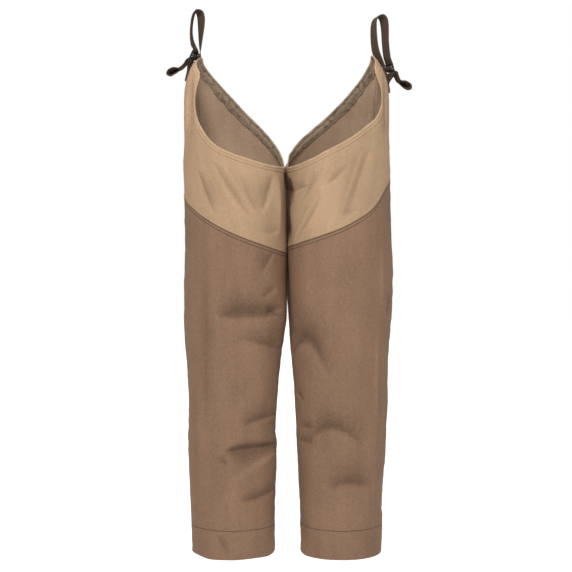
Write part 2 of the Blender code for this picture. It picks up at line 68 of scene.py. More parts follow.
# Cloth and seams. Laps lie under the next panel, and the yoke stands up a little along its lower seam.
HEM_HEIGHT = -1069.0
HEM_DEPTH = 58.0
HEM_SEAM = HEM_HEIGHT + HEM_DEPTH
FRONT_BAND = 10.0
BACK_BAND = 19.0
STEEPEST_BACK_BAND = 46.0
CANVAS_PLY = 1.0
NYLON_PLY = 0.85
STRIP_PLY = 0.5
UNDERLAP = 7.0
LAP_DROP = 3.0
TUCK = -1.3
TUCK_EASE = 2.5
SEAM_LIFT = 0.5
SEAM_LIFT_REACH = 5.0

# The hem's fold, as height above the hem and how far out it lies, and the rows of the cloth inside it.
HEM_FOLD_START = 2.5
HEM_FOLD = ((0.3, -0.2), (0.0, -1.0), (0.4, -1.9), (2.5, -2.1))
HEM_INSIDE = -2.1
HEM_INSIDE_FROM = 6.0
HEM_INSIDE_PAST = 3.0
HEM_INSIDE_STEP = 4.0

# The steps over which the surface's slopes and the edges' directions are read.
SLOPE_DEGREES = 0.5
SLOPE_RISE = 1.0
EDGE_STEP = 1.0

# How finely each piece is divided.
EDGE_COLUMNS = 22
YOKE_COLUMNS = 126
YOKE_BAND_ROWS = 4
YOKE_ROWS = 92
SHIELD_COLUMNS = 106
SHIELD_ROWS = 236
BACK_COLUMNS = 110
BACK_ROWS = 290
BINDING_COLUMNS = 170
FACING_COLUMNS = 149

# Round a leg, 0 degrees is the inseam, 90 the front, 180 the outer side and 270 the back.
# Outer and inner are measured outward from the middle between the legs. Front and back are
# half depths, and lean is how far back the middle of the section sits. Each row holds the height,
# outer, inner, front, back and lean.
SECTIONS = {
    "left": (
        (-84, 165, 131, 9, 9, 4),
        (-94, 177, 116, 14, 14, 3.7),
        (-106, 187, 95, 22, 22, 3.3),
        (-120, 192, 74, 33, 33, 2.8),
        (-140, 197, 46, 47, 47, 2.2),
        (-170, 199.5, 20, 64, 65, 1.2),
        (-208, 200, 8, 80, 82, 0),
        (-255, 200.5, 3.5, 91, 93, 0),
        (-302, 201, 2.5, 96, 98, 0),
        (-365, 199.5, -0.8, 97, 99, 0),
        (-450, 199.8, -1.6, 96, 97, 1),
        (-523, 201.2, -1.6, 93, 94, 2),
        (-602, 201.3, -1.2, 89, 91, 3),
        (-642, 200.3, 5.5, 87, 90, 4),
        (-722, 195.5, 15, 82, 87, 5),
        (-783, 193.5, 19, 79, 84, 6),
        (-823, 195, 21, 77, 82, 6),
        (-852, 195.4, 18, 77, 80, 6),
        (-965, 191.8, 21, 75, 76, 5),
        (-1069, 188.3, 23, 75, 75, 4),
    ),
    "right": (
        (-80, 168, 131, 9, 9, 4),
        (-90, 178, 116, 14, 14, 3.7),
        (-102, 187, 96, 21, 21, 3.3),
        (-116, 194, 75, 32, 32, 2.9),
        (-138, 200.5, 46, 47, 47, 2.2),
        (-170, 203, 20, 64, 65, 1.2),
        (-208, 203, 8, 80, 82, 0),
        (-255, 202.5, 4, 91, 93, 0),
        (-302, 203.5, 2, 96, 98, 0),
        (-365, 206, 2, 97, 99, 0),
        (-450, 208.5, 2.6, 96, 97, 1),
        (-523, 211.3, 2.6, 94, 95, 2),
        (-602, 208.6, 6, 90, 92, 3),
        (-656, 205.5, 8.5, 87, 90, 4),
        (-722, 202.7, 15, 83, 88, 5),
        (-781, 202.5, 18.5, 80, 85, 6),
        (-843, 200.5, 21, 77, 81, 6),
        (-924, 194.8, 25, 75, 77, 5),
        (-979, 191.5, 27, 75, 76, 5),
        (-997, 193.5, 28, 75, 76, 5),
        (-1069, 191.3, 30, 75, 75, 4),
    ),
}

# The angle and height of places along each free edge and along the seam under the yoke.
FRONT_EDGES = {
    "left": (
        (0, -302), (30, -299.5), (50, -296), (70, -287), (91, -275), (111, -257), (128, -225), (137, -195),
        (138.5, -167), (131, -139), (126, -122), (131, -110), (145, -99), (163, -90), (180, -86),
    ),
    "right": (
        (0, -302), (32, -298), (59, -284), (74, -271), (91, -256), (108, -238), (121, -222), (133, -208),
        (142, -190), (146.5, -170), (143, -150), (137, -132), (131, -115), (134, -103), (147, -93),
        (163, -86), (180, -82),
    ),
}
BACK_EDGES = {
    "left": (
        (180, -86), (212, -87), (232, -92), (249, -106), (260, -128), (269, -152), (284, -188), (305, -224),
        (330, -262), (345, -283), (360, -302),
    ),
    "right": (
        (180, -82), (212, -83), (230, -90), (245, -106), (254, -128), (270, -170), (291, -209), (319, -246),
        (344, -279), (360, -302),
    ),
}
YOKE_SEAMS = {
    "left": (
        (0, -471), (28, -464), (47, -456), (78, -438), (105, -417), (126, -398), (143, -382), (157, -371),
        (170, -360), (180, -354),
    ),
    "right": (
        (0, -459), (29, -452), (61, -437), (89, -419), (107, -403), (126, -383), (143, -356), (153, -340),
        (168, -328), (180, -323),
    ),
}

# A fold runs from its start through its middle to its end. Its width is half the cloth it takes up, and
# its depth is below the plain surface where it is negative and above it where it is positive. A negative
# width turns its cross-section upside down.
FOLD_COLUMNS = ("start_angle", "start_height", "middle_angle", "middle_height", "end_angle", "end_height",
                "width", "depth")
FOLDS = {
    "left": (
        (151, -112, 147, -165, 151, -232, 15, -4),
        (160, -150, 158, -205, 160, -270, 14, 3),
        (134, -306, 124, -354, 112, -390, 9, -4.5),
        (112, -292, 92, -350, 69, -404, 10, -5),
        (101, -294, 84, -346, 66, -400, 10, 3),
        (80, -314, 71, -362, 58, -392, 9, -4.2),
        (57, -390, 48, -356, 40, -316, 9, -4.2),
        (33, -316, 31, -370, 30, -440, 14, 3.5),
        (30, -420, 44, -428, 60, -424, 8, -1.5),
        (40, -466, 49, -485, 57, -502, 10, -3.5),
        (36, -533, 47, -544, 57, -555, 8, -3.5),
        (110, -589, 76, -585, 32, -588, 20, -8),
        (54, -596, 40, -581, 23, -576, 7, -3),
        (53, -570, 40, -585, 22, -598, 7, -3),
        (82, -630, 54, -643, 12, -662, 12, -4),
        (124, -470, 125, -640, 126, -830, 14, -2.5),
        (74, -807, 53, -795, 4, -789, 10, -4.5),
        (98, -856, 68, -845, 2, -846, -15, -8),
        (12, -862, 62, -890, 96, -930, 22, 6),
        (108, -864, 102, -876, 92, -878, 7, -3),
        (78, -953, 50, -948, 4, -938, 13, -5),
        (112, -1021, 103, -1040, 94, -1066, 8, -3),
        (92, -930, 91, -1000, 90, -1080, 34, 3),
        (217, -110, 216, -180, 214, -262, 12, -8),
        (264, -320, 250, -390, 234, -456, 22, -4),
        (338, -356, 306, -380, 278, -424, 18, -4),
        (206, -640, 264, -622, 326, -648, 18, -5),
        (222, -584, 262, -600, 304, -588, 16, 4),
        (306, -704, 268, -718, 228, -704, 17, 4),
        (204, -842, 250, -858, 304, -846, 17, -5),
        (236, -930, 280, -948, 326, -934, 16, -4),
    ),
    "right": (
        (9, -322, 13, -348, 8, -376, 15, -13),
        (6, -398, 10, -427, 5, -450, 12, -9),
        (2, -312, 3, -385, 2, -456, 14, -7),
        (2, -462, 2, -560, 2, -690, 13, -6),
        (341, -262, 340, -450, 341, -745, 11, 8),
        (343, -290, 342, -317, 343, -346, 9, 7),
        (22, -352, 36, -344, 50, -338, 8, -3),
        (86, -294, 61, -364, 23, -450, 10, 4),
        (98, -298, 85, -322, 68, -342, 9, -4),
        (69, -344, 58, -388, 32, -444, 9, -4.5),
        (65, -312, 54, -342, 39, -376, 10, -3),
        (119, -262, 104, -325, 88, -404, 10, 2.5),
        (126, -268, 110, -330, 94, -412, 18, -4.2),
        (158, -120, 156, -180, 159, -250, 14, -4),
        (89, -394, 98, -390, 108, -384, 7, -2),
        (16, -672, 48, -638, 74, -706, 20, -7),
        (16, -742, 25, -750, 36, -757, 7, -3),
        (21, -815, 36, -810, 48, -812, 8, -3.5),
        (16, -842, 35, -840, 50, -841, 8, -4),
        (40, -840, 76, -806, 116, -842, 17, -6),
        (70, -931, 100, -915, 136, -930, 17, -5.5),
        (141, -461, 139, -519, 141, -580, 6, 2.5),
        (136, -597, 137, -695, 138, -800, 6, 2.5),
        (150, -542, 156, -566, 150, -590, 8, -3),
        (92, -940, 91, -1005, 90, -1080, 34, 2.5),
        (219, -108, 217, -180, 215, -262, 12, -8),
        (258, -330, 246, -396, 232, -470, 22, -4),
        (300, -380, 276, -420, 250, -452, 18, -3.5),
        (208, -628, 262, -644, 330, -624, 18, -5),
        (226, -688, 266, -672, 306, -690, 16, 4),
        (318, -742, 280, -760, 240, -748, 17, 4),
        (206, -866, 256, -850, 310, -868, 17, -5),
        (230, -952, 272, -938, 318, -950, 16, -4),
    ),
}
FOLD_STEPS = 8
DEGREE_OF_CLOTH = 1.7

# The webbing's centre line: outward, back, height, and how far its width turns outward from straight back.
LOOPS = {
    "left": (
        (173, 17, -94, -32), (169.5, 16, -84, -9), (168.5, 13.5, -72, 6), (168, 12.5, -57, 14),
        (167, 12, -38, 18), (166.3, 12, -20, 21), (166.8, 12, -7, 25), (169.5, 12, 1.5, 26), (174, 12, 5, 21),
        (178.5, 12, 2.5, 12), (182.3, 12, -5.5, 2), (184.8, 12, -19, -4), (186, 12, -35, -8),
        (185, 12, -50, -14), (181.5, 12, -63, -24),
    ),
    "right": (
        (187, 15.5, -102, -48), (184, 15, -93, -46), (180, 14.5, -83, -44), (176.5, 14, -73, -42),
        (174, 13, -60, -38), (172.5, 12, -45, -35), (172, 12, -31, -34), (172.6, 12, -19, -34),
        (175.5, 12, -10, -34), (180.5, 12, -5.4, -34), (186, 12, -5.4, -34), (190.5, 12, -10, -34),
        (193, 12, -19, -36), (194.3, 12, -34, -38), (195, 12, -52, -38), (196.5, 12, -70, -38),
        (198.8, 12, -86, -38),
    ),
}
SEWN_ENDS = {
    "left": ((203, -132), (204, -122), (206, -112), (211, -102)),
    "right": ((202, -152), (203, -140), (204, -128), (205, -118), (207, -110)),
}
SEWN_OUTSET = 0.8
TAB_OUTSET = 2.9
TAB_ENDS = {
    "left": ((203, -133), (204, -124), (206, -114)),
    "right": ((202, -155), (203, -146), (204, -137)),
}
BUCKLES = {
    "left": {"top": (176, 12, -75), "bottom": (186, 12, -96.3), "turn": -34},
    "right": {"top": (200.5, 12, -98), "bottom": (206.5, 12, -120.8), "turn": -38},
}
# Past the buckle the webbing runs out as a tail. Its end is folded over and tacked, which leaves an eye.
TAILS = {
    "left": (
        (191.5, 11, -91, -26), (197.5, 11, -98.5, -14), (205, 11, -105.5, -8), (211, 11, -108.8, -5),
        (216, 11, -107.8, -4), (222, 11, -108.8, -4), (227.5, 11, -112, -4), (230.5, 11, -116, -4),
        (229, 11, -119, -4), (225, 11, -118.8, -4), (218, 11, -115.2, -4), (211.5, 11, -111.8, -4),
    ),
    "right": (
        (213, 11, -114.5, -34), (217.5, 11, -123.5, -18), (221, 11, -130.5, -12), (225.5, 11, -133.6, -10),
        (231, 11, -134, -10), (237, 11, -137.3, -10), (241.5, 11, -141.3, -10), (242, 11, -144.2, -10),
        (238, 11, -145.6, -10), (231.5, 11, -142.8, -10), (225, 11, -138, -10),
    ),
}
# How far the webbing leans over, in degrees, at what share of its way, and over how much of it.
LOOP_LEANS = {"left": (-24, 0.47, 0.2), "right": (-18, 0.57, 0.13)}
TAIL_LEANS = {"left": (-21, 0.75, 0.5), "right": (-24, 0.75, 0.5)}
LOOP_STATIONS = 26
TAIL_STATIONS = 18

# Webbing and buckle. The thicknesses of the solids set the route, and the ribbons are a little thinner.
WEBBING_WIDTH = 20.0
WEBBING_STRANDS = 8
WEBBING = 1.6
TAB_WEBBING = 1.2
LOOP_RIBBON = 1.5
TAB_RIBBON = 1.1
LOOP_RIBBON_STEP = 1.6
TAB_RIBBON_STEP = 1.2
SELVEDGE_ROUNDING = 0.35
SELVEDGE_SEGMENTS = 2
SELVEDGE_ANGLE = 60.0
BUCKLE_BAR = 3.0
BUCKLE_RAIL = 3.0
BUCKLE_LENGTH = 23.5
BUCKLE_OPENING = 21.0
BUCKLE_SLOTS = ((3.0, 8.0), (11.0, 20.0))
BUCKLE_COLUMNS = 3
BUCKLE_ROWS = 5
BUCKLE_ROUNDING = 0.8
BUCKLE_SEGMENTS = 3
SHARP_EDGE = 1.0
THREAD_GAP = 0.4
THREAD_LEAD = 2.0
THREAD_EASE = 0.5
THREAD_TURN = 2.5
THREAD_EXIT = 4.5
TAB_REACH = 1.2
TAB_SHOULDER = 1.4
TAB_CROWN = 3.2
TAB_GAP = 0.3

RISING_SECTIONS = {side: tuple(reversed(rows)) for side, rows in SECTIONS.items()}

# A fold's cross-section: how far its steep and gentle sides reach, as shares of its width, how far the sides
# of an upright one reach, how soon a slanting one stops being upright, how sharp its line is, and how it
# fades and narrows towards its ends.
STEEP_SIDE = 0.32
GENTLE_SIDE = 1.6
EVEN_SIDE = 0.9
SLANT_GAIN = 3.0
SHARPNESS = 1.25
FOLD_TAPER = 0.8
FOLD_END_WIDTH = 0.45
FOLD_STRENGTH = 1.35

# Seeds that keep one kind of random shape apart from another, added to a leg's own seed.
PATCH_SEED = 4
PUCKER_SEED = 20
BAND_SEED = 60
HEM_SEED = 90
NOISE_SIZE = 512

# How far the hem wanders up and down, and how many degrees apart its turns are.
HEM_WAVE = 2.2
HEM_WAVE_STEP = 30.0

# The cloth's low unevenness, in layers: cells round the leg, the height of a cell, how far the drift slides
# it round and up, and its height. All but the first show only in patches.
RUMPLES = ((9, 80, 1, 2, 1.1), (15, 34, -1, 3, 0.75), (34, 13, 1, -2, 0.3))
DRIFT = 16.0
DRIFT_CELLS = (7, 130)
PATCH_CELLS = (8, 90)

# Ripples beside a seam: how far from it they reach, how long each is, and its height. A groove has a reach
# and a depth. The yoke's ripples lie a little below its seam, and end at the sides.
YOKE_RIPPLES = (8.0, 5.5, 0.45)
YOKE_RIPPLE_DROP = 4.0
FRONT_EASE = 4.0
HEM_RIPPLES = (8.0, 6.0, 0.4)
HEM_GROOVE = (2.2, 0.35)
SIDE_RIPPLES = (7.0, 7.0, 0.4)
SIDE_GROOVE = (2.0, 0.3)
LOOSE_RIPPLES = (12.0, 17.0, 0.7)

# Where the legs all but touch, their cloth lies quiet.
NEAR_WIDTH = 20.0
NEAR_TOP = -320.0
NEAR_BOTTOM = -640.0
NEAR_EASE = 40.0

# How much painted shade darkens the creases, and how much painted light the crests get: the rise that counts as
# one, how much of the unevenness takes part, and the limits below and above the plain surface. Where there is
# no seam, it is taken as this far away.
FULL_RISE = 7.0
RUMPLE_TINT = 0.6
RISE_LIMITS = (-1.0, 0.2)
NO_SEAM = 999.0

# A band's cross-section: the share of the way down it, and how far out it stands.
BINDING_SHAPE = (
    (1.04, 0.0), (1.0, 0.2), (0.96, 0.75), (0.86, 1.0), (0.72, 0.95), (0.63, 0.6), (0.57, 0.35), (0.51, 0.7),
    (0.42, 1.1), (0.28, 1.25), (0.12, 1.05), (0.0, 0.5), (-0.05, -0.1), (-0.05, -0.8), (0.0, -1.5),
    (0.1, -1.9), (0.3, -2.1), (0.6, -2.1), (0.85, -2.0), (0.9, -1.4),
)
FACING_SHAPE = (
    (0.12, 0.05), (0.09, 0.5), (0.04, 0.75), (0.0, 0.5), (-0.03, -0.1), (-0.03, -0.8), (0.0, -1.5),
    (0.05, -2.2), (0.14, -2.5), (0.22, -2.3), (0.27, -1.8), (0.32, -2.1), (0.42, -2.7), (0.55, -2.9),
    (0.68, -2.7), (0.8, -2.3), (0.86, -1.8), (0.91, -2.1), (0.97, -2.0), (1.0, -1.3),
)
BINDING_RIPPLE = 0.25
FACING_RIPPLE = 0.6
BAND_RIPPLE_STEP = 4.6
BAND_RIPPLE_SHIFT = 30.0
BAND_RIPPLE_LEAST = 0.4
FACING_ENDS = (2.0, 1.0)

# Stitches. A row lies at a share of the way down a band, or at a height above a seam, and then comes how far
# out its thread lies.
STITCH_PITCH = 3.6
STITCH_LENGTH = 2.5
STITCH_WIDTH = 0.55
STITCH_OVERLAP = 1.1
EDGE_STITCH_ROWS = ((0.57, 0.4), (0.97, 0.5))
EDGE_STITCH_STEPS = 240
ABOVE_YOKE_SEAM = (1.8, 0.55)
BELOW_YOKE_SEAM = (-6.5, 0.05)
YOKE_STITCH_STEPS = 200
FACING_STITCH_SHARES = (0.27, 0.86)
FACING_STITCH_OUTSETS = (-1.9, 0.1)
FACING_STITCH_ENDS = (5.0, 3.0)
FACING_STITCH_STEPS = 200
HEM_STITCH_OUTSETS = (0.05, -3.0)
HEM_STITCH_STEPS = 380

# A bar tack: close stitches across the webbing, where its end is folded back on itself.
TACK_ROWS = 6
TACK_STEP = 0.75
TACK_REACH = 8.0
TACK_LIFT = 0.1

# Sewn lines that groove the cloth and are painted darker, as painted shade in their grooves; along the yoke's
# seam this is also the painted shadow under the yoke's lower edge. The mark that they are measured on, their
# place, and how wide they are.
YOKE_LINES = (("below_seam", -0.2, 0.9),)
SHIELD_LINES = (("below_seam", 0.6, 1.8), ("below_seam", 7.0, 1.6), ("above_hem", 0.0, 1.5))

# How the weave looks: the scale of each pattern, how it is stretched across and down, and how much it tints.
CLOTH_GLOSS = 0.12
SLUB_SCALE = 150.0
SLUB_STRETCH = (1.0, 4.0, 1.0)
FLECK_SCALE = 260.0
DYE_SCALE = 11.0
DYE_TINT = 0.35
# Streaks are painted sheen: long bands of lighter and darker tone that stand in for the cloth's uneven sheen.
STREAK_SCALE = 34.0
STREAK_STRETCH = (1.0, 0.1, 1.0)
STREAK_TINT = 0.4
WEAVE_TINT = 0.4
SPECK_SCALE = 120.0
SPECK_START = 0.54
SPECK_GAIN = 8.0
# The next three: how far the sewn lines are darkened as painted shade in their grooves, how dark that shade is,
# and how deep their relief is.
GROOVE_TINT = 0.62
GROOVE_SHADE = 0.25
GROOVE_RELIEF = 2.5
CLOTH_RELIEF = 0.0004

# How the webbing looks, in metres: its ribs, its slanting threads, and where its edges are worn pale.
RIB_LENGTH = 0.0022
WEBBING_THREAD = 0.003
THREAD_SLANT = 0.6
WORN_EDGE = 0.0075
WORN_EDGE_WIDTH = 0.0025
WORN_EDGE_TINT = 0.4
WEBBING_RELIEF = 0.0005

# The stage, in metres. Each lamp has a name, a place, what it points at, its size, and the property that
# holds its power. The floor is lit paper, so that it stays pale where the lamps don't reach.
WHITE = (1.0, 1.0, 1.0, 1.0)
FLOOR_GLOW = 0.75
FLOOR_SHADES = (0.34, 0.38)
FLOOR_REACH = 6.0
LAMPS = (
    ("key light", (-0.45, -1.9, 2.0), (0, 0, -0.55), 0.8, "key_power"),
    ("fill light", (1.4, -2.8, -0.1), (0, 0, -0.4), 1.6, "fill_power"),
    ("floor light", (0, 3.8, 2.4), (0, 4.0, -1.2), 8.0, "floor_power"),
)
CAMERA_PLACE = (0, -2.7, -0.338)
CAMERA_AIM = (0, 0, -0.535)
SENSOR_WIDTH = 36


def smooth_curve(points, at):
    """Reads a smooth curve through rows whose first number is the place along it, at many places."""
    rows = np.asarray(points, dtype=float)
    places, values = rows[:, 0], rows[:, 1:]
    at = np.clip(np.asarray(at, dtype=float), places[0], places[-1])
    index = np.clip(np.searchsorted(places, at, side="right") - 1, 0, len(places) - 2)
    steps = np.diff(values, axis=0) / np.diff(places)[:, None]
    middle = (values[2:] - values[:-2]) / (places[2:] - places[:-2])[:, None]
    slopes = np.vstack((steps[:1], middle, steps[-1:]))
    span = (places[index + 1] - places[index])[..., None]
    t = (at - places[index])[..., None] / span
    return ((2 * t ** 3 - 3 * t ** 2 + 1) * values[index] + (t ** 3 - 2 * t ** 2 + t) * span * slopes[index]
            + (3 * t ** 2 - 2 * t ** 3) * values[index + 1] + (t ** 3 - t ** 2) * span * slopes[index + 1])


def soft_step(value):
    """Eases from 0 to 1."""
    value = np.clip(value, 0.0, 1.0)
    return value * value * (3 - 2 * value)


def bump(distance, width):
    """1 on a line, easing to 0 away from it."""
    return np.exp(-(distance / width) ** 2)


def measured(rows, distance):
    """The rows again, each led by its distance along the curve that they make."""
    along = 0.0
    result = [(along, *rows[0])]
    for before, after in zip(rows, rows[1:]):
        along += distance(before, after)
        result.append((along, *after))
    return result


def bare_points(side, angle, height):
    """The plain leg surface: outward, back and up, in millimetres."""
    angle, height = np.broadcast_arrays(np.asarray(angle, float), np.asarray(height, float))
    outer, inner, front, back, lean = np.moveaxis(smooth_curve(RISING_SECTIONS[side], height), -1, 0)
    turn = np.radians(angle)
    depth = np.where(np.sin(turn) > 0, front, back)
    outward = (outer + inner) / 2 - (outer - inner) / 2 * np.cos(turn)
    return np.stack((outward, lean - depth * np.sin(turn), height), axis=-1)


def surface_slopes(side, angle, height):
    """How the plain surface moves for one degree round the leg and for one millimetre up."""
    turn, rise = SLOPE_DEGREES, SLOPE_RISE
    around = bare_points(side, angle + turn, height) - bare_points(side, angle - turn, height)
    up = bare_points(side, angle, height + rise) - bare_points(side, angle, height - rise)
    return around / (2 * turn), up / (2 * rise)


def outward_normals(side, angle, height):
    """The direction straight out of the cloth."""
    around, up = surface_slopes(side, angle, height)
    out = np.cross(around, up)
    return out / np.linalg.norm(out, axis=-1, keepdims=True)


def fold_curve(fold):
    """Points along one fold, each with its angle, its height, and its share of the way from 0 to 1."""
    places = dict(zip(FOLD_COLUMNS, fold))
    t = np.linspace(0, 1, FOLD_STEPS + 1)
    first, second, third = (1 - t) * (1 - 2 * t), 4 * t * (1 - t), t * (2 * t - 1)
    angle = first * places["start_angle"] + second * places["middle_angle"] + third * places["end_angle"]
    height = first * places["start_height"] + second * places["middle_height"] + third * places["end_height"]
    return np.stack((angle, height, t), axis=-1)


def one_fold(fold, angle, height):
    """The lift that one fold gives the cloth: a trough or crest, steeper on one side unless it is upright."""
    width, depth = fold[-2:]
    curve = fold_curve(fold)
    angle = angle - FULL_TURN * np.round((angle - curve[FOLD_STEPS // 2, 0]) / FULL_TURN)
    chord = (curve[-1, 0] - curve[0, 0]) * DEGREE_OF_CLOTH, curve[-1, 1] - curve[0, 1]
    nearest = np.full(angle.shape, np.inf)
    share, above = np.zeros(angle.shape), np.zeros(angle.shape)
    for before, after in zip(curve, curve[1:]):
        run = (after[0] - before[0]) * DEGREE_OF_CLOTH, after[1] - before[1]
        aside, rise = (angle - before[0]) * DEGREE_OF_CLOTH, height - before[1]
        t = np.clip((run[0] * aside + run[1] * rise) / (run[0] ** 2 + run[1] ** 2), 0, 1)
        distance = np.hypot(aside - t * run[0], rise - t * run[1])
        closer = distance < nearest
        nearest = np.where(closer, distance, nearest)
        share = np.where(closer, before[2] + t * (after[2] - before[2]), share)
        above = np.where(closer, np.sign(run[0] * rise - run[1] * aside) * np.sign(chord[0]), above)
    fade = np.sin(pi * share) ** FOLD_TAPER
    slant = soft_step(SLANT_GAIN * abs(chord[0]) / hypot(*chord))
    reach = np.where(above * depth * width > 0, STEEP_SIDE, GENTLE_SIDE) * slant + EVEN_SIDE * (1 - slant)
    reach = reach * abs(width) * (FOLD_END_WIDTH + (1 - FOLD_END_WIDTH) * fade)
    return FOLD_STRENGTH * depth * fade * np.exp(-(nearest / reach) ** SHARPNESS)


def fold_lift(side, angle, height):
    """How far the folds move the cloth out of the plain surface, or into it."""
    lift = np.zeros(np.shape(angle))
    for fold in FOLDS[side]:
        lift = lift + one_fold(fold, angle, height)
    return lift


def cloth_noise(angle, height, cells_round, cell_height, seed):
    """Soft random ups and downs from -1 to 1, which join up round the leg."""
    values = np.random.default_rng(seed).uniform(-1, 1, (cells_round, NOISE_SIZE))
    across, up = angle / FULL_TURN * cells_round, height / cell_height
    column, row = np.floor(across).astype(int), np.floor(up).astype(int)
    along, rise = soft_step(across - column), soft_step(up - row)
    column, beside = column % cells_round, (column + 1) % cells_round
    row, over = row % NOISE_SIZE, (row + 1) % NOISE_SIZE
    lower = values[column, row] * (1 - along) + values[beside, row] * along
    upper = values[column, over] * (1 - along) + values[beside, over] * along
    return lower * (1 - rise) + upper * rise


def wobble(along, step, seed):
    """Soft random ups and downs from -1 to 1 along a line."""
    values = np.random.default_rng(seed).uniform(-1, 1, NOISE_SIZE)
    whole = np.floor(along / step).astype(int)
    share = soft_step(along / step - whole)
    return values[whole % NOISE_SIZE] * (1 - share) + values[(whole + 1) % NOISE_SIZE] * share


def rumple(side, angle, height):
    """The low unevenness of cloth that nothing presses flat."""
    seed = SEEDS[side]
    drift = DRIFT * cloth_noise(angle, height, *DRIFT_CELLS, seed)
    patch = soft_step(0.5 + cloth_noise(angle, height, *PATCH_CELLS, seed + PATCH_SEED))
    lift = 0.0
    for number, (cells, cell_height, around, up, size) in enumerate(RUMPLES):
        slid = angle + around * drift, height + up * drift
        layer = cloth_noise(*slid, cells, cell_height, seed + 1 + number)
        lift = lift + size * layer * (patch if number else 1.0)
    return lift


def yoke_seam(side, angle):
    """How high the seam under the yoke lies at each angle."""
    return smooth_curve(YOKE_SEAMS[side], np.clip(angle, INSEAM, OUTSEAM))[..., 0]


def ripples(aside, along, shape, seed):
    """Soft random ripples along a seam, fading away from it."""
    reach, length, height = shape
    return height * bump(aside, reach) * wobble(along, length, seed)


def groove(aside, shape):
    """The line that a seam presses into the cloth."""
    reach, depth = shape
    return -depth * bump(aside, reach)


def seam_pucker(side, angle, height):
    """The small ripples that sewing draws beside each seam, and the groove of the seam itself."""
    along = angle * DEGREE_OF_CLOTH
    seed = SEEDS[side] + PUCKER_SEED
    yoke, hem = height - yoke_seam(side, angle), height - HEM_SEAM
    front = soft_step(1 + (OUTSEAM - angle) / FRONT_EASE) * soft_step(1 + (angle - INSEAM) / FRONT_EASE)
    lift = front * ripples(yoke + YOKE_RIPPLE_DROP, along, YOKE_RIPPLES, seed)
    lift = lift + ripples(hem, along, HEM_RIPPLES, seed + 1) + groove(hem, HEM_GROOVE)
    for number, seam in enumerate((INSEAM, OUTSEAM, FULL_TURN)):
        aside = (angle - seam) * DEGREE_OF_CLOTH
        lift = lift + ripples(aside, height, SIDE_RIPPLES, seed + 2 + number) + groove(aside, SIDE_GROOVE)
        lift = lift + ripples(aside, height, LOOSE_RIPPLES, seed + 5 + number)
    return lift


def quiet(angle, height):
    """1 on free cloth, easing to 0 along the inseam where the other leg lies close."""
    aside = (angle - FULL_TURN * np.round(angle / FULL_TURN)) * DEGREE_OF_CLOTH
    tall = soft_step((NEAR_TOP - height) / NEAR_EASE) * soft_step((height - NEAR_BOTTOM) / NEAR_EASE)
    return 1 - bump(aside, NEAR_WIDTH) * tall


def cloth_lift(side, angle, height):
    """How far the cloth lies out of the plain surface, or inside it."""
    loose = rumple(side, angle, height) + seam_pucker(side, angle, height)
    return fold_lift(side, angle, height) + loose * quiet(angle, height)


def in_world(side, points):
    """Points outward, back and up in millimetres as world points in metres."""
    return points * (SIDES[side], 1, 1) * MILLIMETRE


def cloth_points(side, places, outset=0.0):
    """Places on the cloth in metres, from pairs of angle and height, moved out of it by the outset."""
    places = np.asarray(places, dtype=float)
    angle, height = places[..., 0], places[..., 1]
    lift = cloth_lift(side, angle, height) + outset
    points = bare_points(side, angle, height) + lift[..., None] * outward_normals(side, angle, height)
    near_hem = soft_step((HEM_SEAM - height) / HEM_DEPTH)
    points[..., 2] += HEM_WAVE * near_hem * wobble(angle % FULL_TURN, HEM_WAVE_STEP, SEEDS[side] + HEM_SEED)
    return in_world(side, points)


def cloth_distance(side):
    """A measure of the way along the plain cloth between two places."""
    return lambda before, after: float(np.linalg.norm(bare_points(side, *after) - bare_points(side, *before)))


def step_into_cloth(side, place, ahead, distance):
    """The place that lies a distance below an edge, square to the edge's own direction."""
    around, up = surface_slopes(side, *place)
    along = ahead[0] - place[0], ahead[1] - place[1]
    across = (around.dot(up) * along[0] + up.dot(up) * along[1],
              -(around.dot(around) * along[0] + around.dot(up) * along[1]))
    length = np.linalg.norm(around * across[0] + up * across[1])
    return tuple(value + distance * part / length for value, part in zip(place, across))


def front_edge_places(side, columns):
    """The yoke's top edge, evenly divided from the inseam to the tip, and the line one band below it."""
    curve = measured(FRONT_EDGES[side], cloth_distance(side))
    length = curve[-1][0]
    below = []
    for column in range(EDGE_COLUMNS + 1):
        along = length * column / EDGE_COLUMNS
        start = tuple(smooth_curve(curve, min(along, length - EDGE_STEP)))
        ahead = tuple(smooth_curve(curve, min(along, length - EDGE_STEP) + EDGE_STEP))
        below.append((along, *step_into_cloth(side, start, ahead, FRONT_BAND)))
    below[0] = (0.0, INSEAM, FRONT_EDGES[side][0][1] - FRONT_BAND)
    below[-1] = (length, OUTSEAM, FRONT_EDGES[side][-1][1] - FRONT_BAND)
    along = np.linspace(0, length, columns + 1)
    return smooth_curve(curve, along), smooth_curve(below, along)


def back_edge_places(side, angles):
    """The back panel's top edge and the line one facing below it."""
    before, height, after = (smooth_curve(BACK_EDGES[side], angles + turn)[..., 0] for turn in (-1, 0, 1))
    rise = before - after
    run = 2 * np.linalg.norm(surface_slopes(side, angles, height)[0], axis=-1)
    band = np.minimum(BACK_BAND * np.hypot(1, rise / run), STEEPEST_BACK_BAND)
    return np.stack((angles, height), -1), np.stack((angles, height - band), -1)


def rows_between(top, bottom, rows):
    """Even rows of places from one line down to another, both included."""
    share = np.linspace(0, 1, rows + 1)[:, None, None]
    return np.asarray(top)[None] * (1 - share) + np.asarray(bottom)[None] * share


def over_underlap(grid, seams):
    """How far each place of a grid is tucked under its neighbour, past the seams that bound it."""
    angle = grid[..., 0]
    past = np.maximum(seams[0] - angle, angle - seams[1]) * DEGREE_OF_CLOTH
    return TUCK * soft_step(past / TUCK_EASE)


